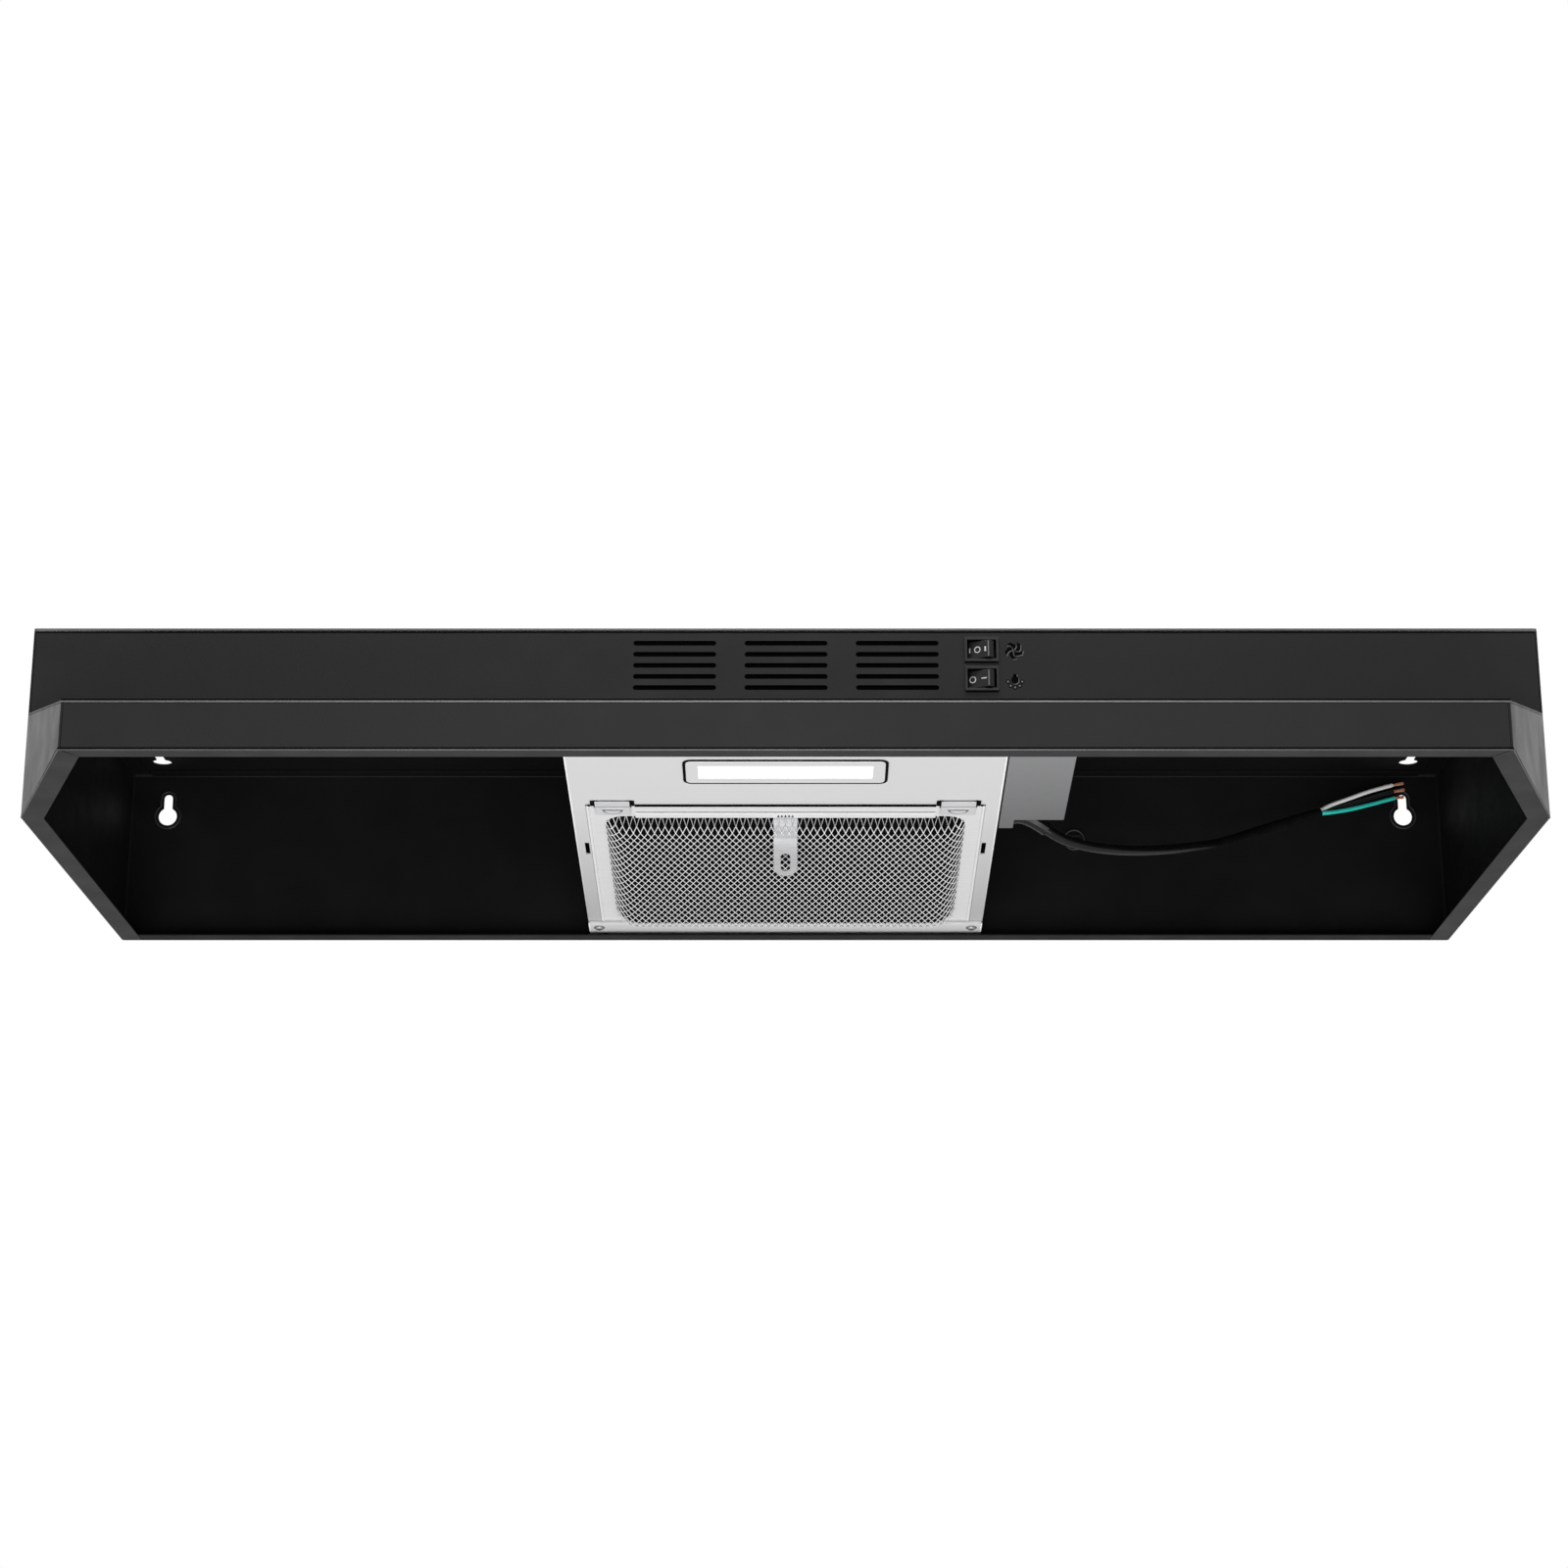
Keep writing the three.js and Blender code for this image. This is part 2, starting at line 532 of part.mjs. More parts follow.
function switchBody(z) {
  const at = (x, y, height) => box([SWITCH_X + x[0], SWITCH_X + x[1]],
    [FASCIA_Y + y[0], FASCIA_Y + y[1]], [z + height[0], z + height[1]]);
  const bezel = at([-10.2, 10.2], [-1.9, -GAP], [-7.8, 7.8]);
  const body = at([-8.9, 8.9], [-1, 15], [-6.4, 6.4]);
  const cavity = at([-8.6, 8.6], [-3, 7.5], [-5.9, 5.9]);
  const terminals = [-5.5, 0, 5.5].map((x) => at([x - 0.4, x + 0.4], [14.5, 22], [-2.4, 2.4]));
  return cut(union(bezel, body, ...terminals), cavity);
}

function rocker(z) {
  const profile = [[-7.9, 0.6], [4.2, -4.5], [4.9, -4.4], [7.3, -2.9], [7.9, 1], [6.8, 4], [-6.8, 4], [-7.8, 2]];
  const points = profile.map(([x, y]) => [SWITCH_X + x, ROCKER_PIVOT_Y + y]);
  return prismZ(points, z - 5.5, z + 5.5);
}

// ---- blower -------------------------------------------------------------------------

function scrollOutline(inset, mouthY) {
  const points = [[-118 + inset, mouthY]];
  const steps = 24;
  for (let i = 0; i <= steps; i += 1) {
    const a = Math.PI - (i / steps) * (255 / 180) * Math.PI;
    const r = 118 - 36 * (i / steps) - inset;
    points.push([r * Math.cos(a), BLOWER_Y + r * Math.sin(a)]);
  }
  const end = points[points.length - 1];
  points.push([21.2 - inset, end[1]]);
  points.push([21.2 - inset, mouthY]);
  return points.reverse();
}

function blowerHousing() {
  const mouth = -66;
  const shell = prismZ(scrollOutline(0, mouth), -58, -1.4);
  const hollow = prismZ(scrollOutline(1.2, mouth - 2), -57, -2.6);
  const inlet = prismZ(ringPoints(61, 40, 0, BLOWER_Y), -60, -55);
  return cut(shell, hollow, inlet);
}

function inletRing() {
  const profile = [[57, -53.5], [57, -56], [58.5, -58.6], [61, -59.3], [69, -59.3], [69, -58.3], [61, -58.3],
    [59.4, -57.8], [58, -55.6], [58, -53.5], [57, -53.5]];
  return placed(turned(profile, 40), 0, BLOWER_Y, 0);
}

function impeller() {
  const plate = turned([[0, -13.4], [WHEEL_R, -13.4], [WHEEL_R, -12], [0, -12]], 48);
  const ring = turned([[60.5, -51], [WHEEL_R, -51], [WHEEL_R, -49.8], [60.5, -49.8], [60.5, -51]], 48);
  const hub = turned([[0, -26], [8, -26], [8, -13], [0, -13]], 24);
  const blades = [];
  for (let i = 0; i < 30; i += 1) {
    const blade = box([WHEEL_INNER_R + 2, WHEEL_R - 0.4], [-0.5, 0.5], [-50, -13]);
    const leaned = blade.translate([-66, 0, 0]).rotate([0, 0, 32]).translate([66, 0, 0]);
    blades.push(leaned.rotate([0, 0, i * 12]));
  }
  const bore = turned([[0, -30], [SHAFT_R + 0.02, -30], [SHAFT_R + 0.02, -16], [0, -16]], 32);
  return placed(cut(union(plate, ring, hub, ...blades), bore), 0, BLOWER_Y, 0);
}

function motorShaft() {
  return placed(turned([[0, -55], [SHAFT_R, -55], [SHAFT_R, -16.3], [0, -16.3]], 32), 0, BLOWER_Y, 0);
}

function motorShell() {
  const profile = [[SHAFT_R + 0.1, -28.5], [9, -28.5], [9, -31], [33, -31.6], [36, -34.5], [36, -55.5],
    [33, -59], [0, -59.2], [0, -55.6], [SHAFT_R + 0.1, -55.6], [SHAFT_R + 0.1, -28.5]];
  return placed(turned(profile.reverse(), 32), 0, BLOWER_Y, 0);
}

function motorBracket() {
  const disc = turned([[0, -61], [22, -61], [22, -59.6], [0, -59.6]], 24);
  const arms = [90, 210, 330].map((a) => box([15, 68.5], [-5, 5], [-61, -59.6]).rotate([0, 0, a]));
  return placed(union(disc, ...arms), 0, BLOWER_Y, 0);
}

function bracketNut(index) {
  const a = THREE.MathUtils.degToRad(90 + 120 * index);
  const nut = prismZ(ringPoints(4, 6, 0, 0), -64.2, -61.3);
  return placed(nut, 64 * Math.cos(a), BLOWER_Y + 64 * Math.sin(a), 0);
}

// ---- wiring box and cord ----------------------------------------------------------------

function wiringOutline(inset) {
  const w = WIRING;
  return [[w.left + inset, w.front + inset], [w.right - inset, w.front + inset], [w.right - inset, w.rear - inset],
    [w.step - inset, w.rear - inset], [w.step - inset, w.stepRear - inset], [w.left + inset, w.stepRear - inset]];
}

function coverScrewHole() {
  const hole = turned([[0, 0], [1.75, 0], [1.75, 8], [0, 8]], 16);
  return placed(hole.rotate([0, 90, 0]), WIRING.right - 5, COVER_SCREW.y, COVER_SCREW.z);
}

function wiringBox() {
  const walls = cut(prismZ(wiringOutline(0), -140, -2.8), prismZ(wiringOutline(SHEET), -150, 0));
  const entry = turned([[0, 0], [4.6, 0], [4.6, 6], [0, 6]], 24).rotate([0, 90, 0]);
  return cut(walls, belowSlope(SHEET + GAP), placed(entry, WIRING.step - 4, GLAND_Y, GLAND_Z), coverScrewHole());
}

function wiringCover() {
  const skin = cut(prismZ(wiringOutline(0), -140, -40).intersect(belowSlope(SHEET)), belowSlope(0));
  const turnUp = cut(box([WIRING.right - 2.4, WIRING.right - 1.4], [-60, -20], [-100, -62]), belowSlope(SHEET / 2));
  return cut(union(skin, turnUp), coverScrewHole());
}

function coverScrew() {
  const screw = turned([[0, 0], [1.4, 0], [1.4, 4.2], [2.9, 4.2], [2.9, 5], [2, 5.8], [0, 6]], 16);
  return placed(screw.rotate([0, 90, 0]), WIRING.right + GAP - 4.2, COVER_SCREW.y, COVER_SCREW.z);
}

function capacitor() {
  return union(box([141, 166], [-62, -32], [-30, -3.3]), box([145, 147], [-56, -52], [-34, -29]),
    box([158, 160], [-56, -52], [-34, -29]));
}

function terminalBlock() {
  const base = box([139, 167], [-14, 2], [-16, -3.3]);
  const wells = [-9, 0, 9].map((x) => box([153 + x - 3, 153 + x + 3], [-10, -2], [-18, -11]));
  return cut(base, ...wells);
}

function strainRelief() {
  const flange = turned([[0, 0], [5.1, 0], [5.1, 1.6], [0, 1.6]], 20).rotate([0, 90, 0]);
  const neck = turned([[0, 0], [4, 0], [4, 5], [0, 5]], 20).rotate([0, 90, 0]);
  const sleeve = tube(CORD_ROUTE.slice(1, 5), 4.3, 10, 8);
  const bore = tube(CORD_ROUTE.slice(0, 8), SHEATH_R + 0.35, 12, 24);
  return cut(union(
    placed(flange, WIRING.step + GAP, GLAND_Y, GLAND_Z),
    placed(neck, WIRING.step - 3.6, GLAND_Y, GLAND_Z),
    sleeve), bore);
}

function cordSheath() {
  return tube(CORD_ROUTE, SHEATH_R, 12, 44);
}

function wire(name) {
  return tube(WIRE_ROUTES[name], WIRE_R, 8, 12);
}

function wireTip(name) {
  const route = WIRE_ROUTES[name];
  const from = new THREE.Vector3(...route[route.length - 1]);
  const to = new THREE.Vector3(...TIP_ENDS[name]);
  const start = from.clone().lerp(to, 0.06);
  return tube([start.toArray(), start.clone().lerp(to, 0.5).toArray(), to.toArray()], 0.7, 8, 2);
}

// ---- assembly -----------------------------------------------------------------------------

function buildHood() {
  const hood = new THREE.Group();
  hood.name = 'under_cabinet_range_hood';
  const add = (name, solid, finish) => {
    const mesh = new THREE.Mesh(toGeometry(solid), new THREE.MeshStandardMaterial(FINISH[finish]));
    mesh.name = name;
    hood.add(mesh);
  };
  add('front_panel', frontPanel(), 'paint');
  add('side_panel_left', leftSidePanel(), 'paint');
  add('side_panel_right', rightSidePanel(), 'paint');
  add('top_panel', topPanel(), 'paint');
  add('back_panel', backPanel(), 'paint');
  add('hole_plug', holePlug(), 'darkPlastic');
  add('light_panel', lightPanel(), 'silver');
  add('filter_ledge', filterLedge(), 'silver');
  add('ledge_screw_left', ledgeScrew(-1), 'screw');
  add('ledge_screw_right', ledgeScrew(1), 'screw');
  add('lamp_bezel', lampBezel(), 'silver');
  add('lamp_lens', lampLens(), 'lens');
  add('led_board', ledBoard(), 'board');
  add('led_driver', ledDriver(), 'darkPlastic');
  add('filter_frame', filterFrame(), 'aluminium');
  add('filter_mesh', filterMesh(), 'aluminium');
  add('filter_core', filterCore(), 'aluminium');
  add('pull_tab', pullTab(), 'aluminium');
  add('latch_left', latch(-1), 'silver');
  add('latch_right', latch(1), 'silver');
  add('fan_switch', switchBody(FAN_SWITCH_Z), 'darkPlastic');
  add('light_switch', switchBody(LIGHT_SWITCH_Z), 'darkPlastic');
  add('fan_rocker', rocker(FAN_SWITCH_Z), 'darkPlastic');
  add('light_rocker', rocker(LIGHT_SWITCH_Z), 'darkPlastic');
  add('blower_housing', blowerHousing(), 'zinc');
  add('inlet_ring', inletRing(), 'zinc');
  add('impeller', impeller(), 'zinc');
  add('motor_shaft', motorShaft(), 'screw');
  add('motor', motorShell(), 'zinc');
  add('motor_bracket', motorBracket(), 'zinc');
  for (let i = 0; i < 3; i += 1) {
    add(`bracket_nut_${i + 1}`, bracketNut(i), 'screw');
  }
  add('wiring_box', wiringBox(), 'zinc');
  add('wiring_cover', wiringCover(), 'zinc');
  add('cover_screw', coverScrew(), 'screw');
  add('capacitor', capacitor(), 'darkPlastic');
  add('terminal_block', terminalBlock(), 'whitePlastic');
  add('strain_relief', strainRelief(), 'darkPlastic');
  add('cord_sheath', cordSheath(), 'cord');
  add('wire_white', wire('white'), 'whiteWire');
  add('wire_black', wire('black'), 'cord');
  add('wire_green', wire('green'), 'greenWire');
  for (const name of ['white', 'black', 'green']) {
    add(`wire_tip_${name}`, wireTip(name), 'copper');
  }
  return hood;
}

export default buildHood();
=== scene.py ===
import math

import bmesh
import bpy
import numpy as np
from mathutils import Matrix, Vector


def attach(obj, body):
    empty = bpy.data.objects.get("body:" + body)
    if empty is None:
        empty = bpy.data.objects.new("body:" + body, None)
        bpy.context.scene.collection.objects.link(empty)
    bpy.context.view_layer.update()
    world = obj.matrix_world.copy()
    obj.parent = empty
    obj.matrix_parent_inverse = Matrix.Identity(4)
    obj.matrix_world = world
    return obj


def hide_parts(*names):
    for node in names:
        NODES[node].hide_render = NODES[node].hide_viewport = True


MM = 0.001

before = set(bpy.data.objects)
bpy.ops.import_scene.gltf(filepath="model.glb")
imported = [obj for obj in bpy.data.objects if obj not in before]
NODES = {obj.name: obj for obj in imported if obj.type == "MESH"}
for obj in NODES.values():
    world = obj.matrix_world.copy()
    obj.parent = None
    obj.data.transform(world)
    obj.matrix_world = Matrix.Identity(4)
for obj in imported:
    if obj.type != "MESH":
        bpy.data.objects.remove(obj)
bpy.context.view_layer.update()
scene = bpy.context.scene


# ---- camera --------------------------------------------------------------------------

def make_camera():
    data = bpy.data.cameras.new("camera")
    data.lens = 72.225
    data.sensor_width = 36.0
    data.clip_end = 50.0
    camera = bpy.data.objects.new("camera", data)
    camera.location = (-0.0009, -1.8593, -0.6356)
    camera.rotation_euler = (math.radians(90 + 16.85), 0, 0)
    scene.collection.objects.link(camera)
    scene.camera = camera


make_camera()


# ---- small helpers -------------------------------------------------------------------

def link(name, mesh):
    piece = bpy.data.objects.new(name, mesh)
    scene.collection.objects.link(piece)
    return piece


def mesh_from(name, vertices, faces, smooth=False):
    mesh = bpy.data.meshes.new(name)
    mesh.from_pydata([tuple(v) for v in vertices], [], [tuple(f) for f in faces])
    mesh.validate()
    mesh.update()
    if smooth:
        mesh.polygons.foreach_set("use_smooth", [True] * len(mesh.polygons))
    return link(name, mesh)


def finish_piece(piece, body, material, replaces=()):
    """Gives a piece its material, by its name in MAT, its body and the nodes it stands for."""
    piece.data.materials.clear()
    piece.data.materials.append(MAT[material])
    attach(piece, body)
    if replaces:
        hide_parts(*replaces)
    return piece


def catmull(points, steps):
    """A centripetal Catmull-Rom curve through the points, as the CAD tube follows."""
    p = [np.array(q, float) for q in points]
    p = [2 * p[0] - p[1]] + p + [2 * p[-1] - p[-2]]
    out = []
    for i in range(1, len(p) - 2):
        a, b, c, d = p[i - 1], p[i], p[i + 1], p[i + 2]
        t0 = 0.0
        t1 = t0 + np.linalg.norm(b - a) ** 0.5
        t2 = t1 + np.linalg.norm(c - b) ** 0.5
        t3 = t2 + np.linalg.norm(d - c) ** 0.5
        for k in range(steps):
            t = t1 + (t2 - t1) * k / steps
            a1 = (t1 - t) / (t1 - t0) * a + (t - t0) / (t1 - t0) * b
            a2 = (t2 - t) / (t2 - t1) * b + (t - t1) / (t2 - t1) * c
            a3 = (t3 - t) / (t3 - t2) * c + (t - t2) / (t3 - t2) * d
            b1 = (t2 - t) / (t2 - t0) * a1 + (t - t0) / (t2 - t0) * a2
            b2 = (t3 - t) / (t3 - t1) * a2 + (t - t1) / (t3 - t1) * a3
            out.append((t2 - t) / (t2 - t1) * b1 + (t - t1) / (t2 - t1) * b2)
    out.append(p[-2])
    return out


def path_length(points):
    return float(sum(np.linalg.norm(b - a) for a, b in zip(points, points[1:])))


def tube_rings(points, radii, sides):
    """Closed tube along the points: vertices and faces."""
    pts = [np.array(p, float) for p in points]
    vertices = []
    faces = []
    up = np.array([0.0, 0.0, 1.0])
    for i, p in enumerate(pts):
        ahead = pts[min(i + 1, len(pts) - 1)] - pts[max(i - 1, 0)]
        ahead /= np.linalg.norm(ahead)
        side = np.cross(ahead, up)
        side /= max(np.linalg.norm(side), 1e-9)
        over = np.cross(side, ahead)
        for k in range(sides):
            a = 2 * math.pi * k / sides
            vertices.append(p + radii[i] * (math.cos(a) * side + math.sin(a) * over))
    for i in range(len(pts) - 1):
        for k in range(sides):
            j = (k + 1) % sides
            faces.append((i * sides + k, i * sides + j, (i + 1) * sides + j, (i + 1) * sides + k))
    faces.append(tuple(range(sides - 1, -1, -1)))
    last = (len(pts) - 1) * sides
    faces.append(tuple(last + k for k in range(sides)))
    return vertices, faces


# ---- materials -----------------------------------------------------------------------

class Shader:
    """A small builder for one procedural material."""

    def __init__(self, name, color, roughness, metallic=0.0):
        self.material = bpy.data.materials.new(name)
        self.material.use_nodes = True
        self.tree = self.material.node_tree
        self.bsdf = self.tree.nodes["Principled BSDF"]
        self.bsdf.inputs["Base Color"].default_value = (*color, 1)
        self.bsdf.inputs["Roughness"].default_value = roughness
        self.bsdf.inputs["Metallic"].default_value = metallic
        self.coordinate = self.tree.nodes.new("ShaderNodeTexCoord").outputs["Object"]
        self.last_bump = None

    def set(self, **values):
        for key, value in values.items():
            self.bsdf.inputs[key.replace("_", " ")].default_value = value
        return self

    def node(self, kind, **settings):
        node = self.tree.nodes.new(kind)
        for key, value in settings.items():
            setattr(node, key, value)
        return node

    def join(self, output, socket):
        self.tree.links.new(output, socket)

    def along(self, axis):
        """The object coordinate along one axis, in metres."""
        parts = self.node("ShaderNodeSeparateXYZ")
        self.join(self.coordinate, parts.inputs["Vector"])
        return parts.outputs[axis]

    def arithmetic(self, operation, *values):
        node = self.node("ShaderNodeMath", operation=operation)
        for value, socket in zip(values, node.inputs):
            self.join(value, socket)
        return node.outputs[0]

    def stretched(self, scale):
        mapping = self.node("ShaderNodeMapping")
        mapping.inputs["Scale"].default_value = scale
        self.join(self.coordinate, mapping.inputs["Vector"])
        return mapping.outputs["Vector"]

    def noise(self, scale, detail=3.0, vector=None):
        node = self.node("ShaderNodeTexNoise")
        node.inputs["Scale"].default_value = scale
        node.inputs["Detail"].default_value = detail
        self.join(vector or self.coordinate, node.inputs["Vector"])
        return node.outputs["Fac"]

    def cells(self, scale, feature="F1"):
        node = self.node("ShaderNodeTexVoronoi", feature=feature)
        node.inputs["Scale"].default_value = scale
        self.join(self.coordinate, node.inputs["Vector"])
        return node.outputs["Distance"]

    def remap(self, value, low, high, from_low=0.3, from_high=0.7):
        node = self.node("ShaderNodeMapRange")
        node.inputs["From Min"].default_value = from_low
        node.inputs["From Max"].default_value = from_high
        node.inputs["To Min"].default_value = low
        node.inputs["To Max"].default_value = high
        self.join(value, node.inputs["Value"])
        return node.outputs["Result"]

    def vary_roughness(self, value, low, high, from_low=0.3, from_high=0.7):
        self.join(self.remap(value, low, high, from_low, from_high), self.bsdf.inputs["Roughness"])
        return self

    def vary_color(self, value, dark, light, from_low=0.3, from_high=0.7):
        ramp = self.node("ShaderNodeValToRGB")
        ramp.color_ramp.elements[0].position = from_low
        ramp.color_ramp.elements[1].position = from_high
        ramp.color_ramp.elements[0].color = (*dark, 1)
        ramp.color_ramp.elements[1].color = (*light, 1)
        self.join(value, ramp.inputs["Fac"])
        self.join(ramp.outputs["Color"], self.bsdf.inputs["Base Color"])
        return self

    def bump(self, value, strength, distance):
        node = self.node("ShaderNodeBump")
        node.inputs["Strength"].default_value = strength
        node.inputs["Distance"].default_value = distance
        self.join(value, node.inputs["Height"])
        if self.last_bump:
            self.join(self.last_bump, node.inputs["Normal"])
        self.last_bump = node.outputs["Normal"]
        self.join(self.last_bump, self.bsdf.inputs["Normal"])
        return self


def paint_material():
    s = Shader("black_powder_coat", (0.0095, 0.0095, 0.010), 0.4)
    s.vary_color(s.noise(6, 4), (0.0088, 0.0088, 0.0094), (0.0104, 0.0104, 0.011))
    s.vary_roughness(s.noise(40, 4), 0.36, 0.46)
    s.bump(s.noise(900, 2), 0.12, 0.0004)
    s.bump(s.noise(260, 2), 0.05, 0.0010)
    return s.set(Specular_IOR_Level=0.38).material


def silver_material(name, shaded):
    """Silver paint; on the panel, painted shade makes the strips beside the filter darker toward the
    rear.
    """
    s = Shader(name, (0.77, 0.77, 0.77), 0.42, 0.2)
    if shaded:
        # painted shade: beside the filter the colour darkens toward the rear
        beside = s.remap(s.arithmetic("ABSOLUTE", s.along("X")), 0.0, 1.0, 0.1215, 0.1225)
        rearward = s.remap(s.along("Y"), 0.0, 1.0, 0.0, 0.20)
        rear_shade = s.arithmetic("MULTIPLY", beside, rearward)
        s.vary_color(rear_shade, (0.77, 0.77, 0.77), (0.50, 0.50, 0.50), 0.0, 1.0)
    else:
        s.vary_color(s.noise(5, 4), (0.75, 0.75, 0.75), (0.79, 0.79, 0.79))
    s.vary_roughness(s.cells(3500), 0.34, 0.48, 0.0, 0.6)
    s.bump(s.noise(1100, 2), 0.08, 0.0003)
    return s.material


def latch_material():
    s = Shader("silver_moulding", (0.66, 0.665, 0.67), 0.4, 0.1)
    s.vary_color(s.noise(90, 3), (0.63, 0.635, 0.64), (0.69, 0.695, 0.70))
    s.vary_roughness(s.noise(300, 2), 0.34, 0.44)
    s.bump(s.noise(1800, 2), 0.10, 0.0002)
    return s.material


def aluminium_material(name, dark, light, rough, metallic):
    s = Shader(name, light, rough, metallic)
    rolled = s.noise(60, 5, s.stretched((1.0, 14.0, 14.0)))
    s.vary_color(rolled, dark, light)
    s.vary_roughness(s.noise(220, 4, s.stretched((1.0, 10.0, 10.0))), rough - 0.06, rough + 0.08)
    s.bump(rolled, 0.06, 0.0003)
    return s.material


def mesh_core_material():
    # painted shade: the filter's aluminium layers coloured near-black, with a layered pattern
    s = Shader("layered_filter_core_painted_shade", (0.01, 0.01, 0.01), 0.6, 0.3)
    layers = s.cells(330, feature="DISTANCE_TO_EDGE")
    s.vary_color(layers, (0.022, 0.022, 0.023), (0.002, 0.002, 0.002), 0.05, 0.22)
    s.vary_roughness(s.noise(400, 3), 0.35, 0.6)
    s.bump(layers, 0.6, 0.0012)
    return s.material


def zinc_material():
    # painted shade: the galvanised steel is coloured far darker than bare zinc, so it stays dark inside
    # the hood and behind the louvers
    s = Shader("galvanised", (0.17, 0.172, 0.175), 0.42, 0.6)
    s.vary_color(s.cells(140), (0.13, 0.132, 0.135), (0.20, 0.202, 0.206), 0.1, 0.8)
    s.vary_roughness(s.noise(120, 4), 0.34, 0.5)
    s.bump(s.noise(500, 3), 0.05, 0.0004)
    return s.material


def wiring_material():
    s = Shader("grey_zinc_steel", (0.21, 0.215, 0.22), 0.45, 0.35)
    # painted shade: the box is lighter at the front and darker toward the rear
    painted_shade_toward_rear = s.remap(s.along("Y"), 0.0, 1.0, -0.08, 0.03)
    s.vary_color(painted_shade_toward_rear, (0.31, 0.313, 0.317), (0.19, 0.192, 0.195), 0.0, 1.0)
    s.vary_roughness(s.noise(90, 4), 0.4, 0.52)
    s.bump(s.noise(600, 3), 0.05, 0.0004)
    return s.material


def plastic_material(name, color, rough, texture=1500.0, depth=0.12):
    s = Shader(name, color, rough)
    lift = tuple(min(1.0, c * 1.25 + 0.002) for c in color)
    s.vary_color(s.noise(60, 3), color, lift)
    s.vary_roughness(s.noise(200, 3), rough - 0.05, rough + 0.07)
    s.bump(s.noise(texture, 2), depth, 0.0002)
    return s.material


def felt_material():
    # black felt for real seals, and also painted shade where dark sheets, strips and lines stand for
    # shadow
    s = Shader("black_felt_and_painted_shade", (0.003, 0.003, 0.003), 0.95)
    s.vary_color(s.noise(900, 4), (0.002, 0.002, 0.002), (0.005, 0.005, 0.005))
    s.bump(s.noise(1400, 3), 0.2, 0.0003)
    return s.set(Specular_IOR_Level=0.05).material


def screw_material():
    s = Shader("zinc_plated_screw", (0.62, 0.63, 0.64), 0.3, 1.0)
    s.vary_color(s.noise(700, 3), (0.50, 0.51, 0.52), (0.68, 0.69, 0.70))
    s.vary_roughness(s.noise(900, 3), 0.22, 0.4)
    s.bump(s.noise(2200, 2), 0.08, 0.0002)
    return s.material


def copper_material():
    s = Shader("bare_copper", (0.85, 0.42, 0.27), 0.4, 0.25)
    s.vary_color(s.noise(1500, 3), (0.78, 0.34, 0.20), (0.92, 0.50, 0.34))
    s.vary_roughness(s.noise(900, 3), 0.22, 0.4)
    s.bump(s.noise(3000, 2), 0.1, 0.0002)
    return s.material


def lens_material():
    s = Shader("glowing_diffuser", (0.93, 0.93, 0.90), 0.35)
    s.vary_roughness(s.noise(500, 2), 0.3, 0.42)
    s.bump(s.noise(1400, 2), 0.08, 0.0002)
    s.set(Emission_Color=(1.0, 0.995, 0.97, 1), Emission_Strength=1.25)
    return s.material


def painted_shade_inside_material():
    # painted shade: the same powder coat, coloured darker and less glossy where it lies inside the hood
    s = Shader("black_coat_painted_shade_inside", (0.0045, 0.0045, 0.005), 0.5)
    s.vary_color(s.noise(7, 4), (0.0038, 0.0038, 0.0042), (0.0056, 0.0056, 0.006))
    s.vary_roughness(s.noise(40, 4), 0.44, 0.56)
    s.bump(s.noise(900, 2), 0.12, 0.0004)
    return s.set(Specular_IOR_Level=0.16).material


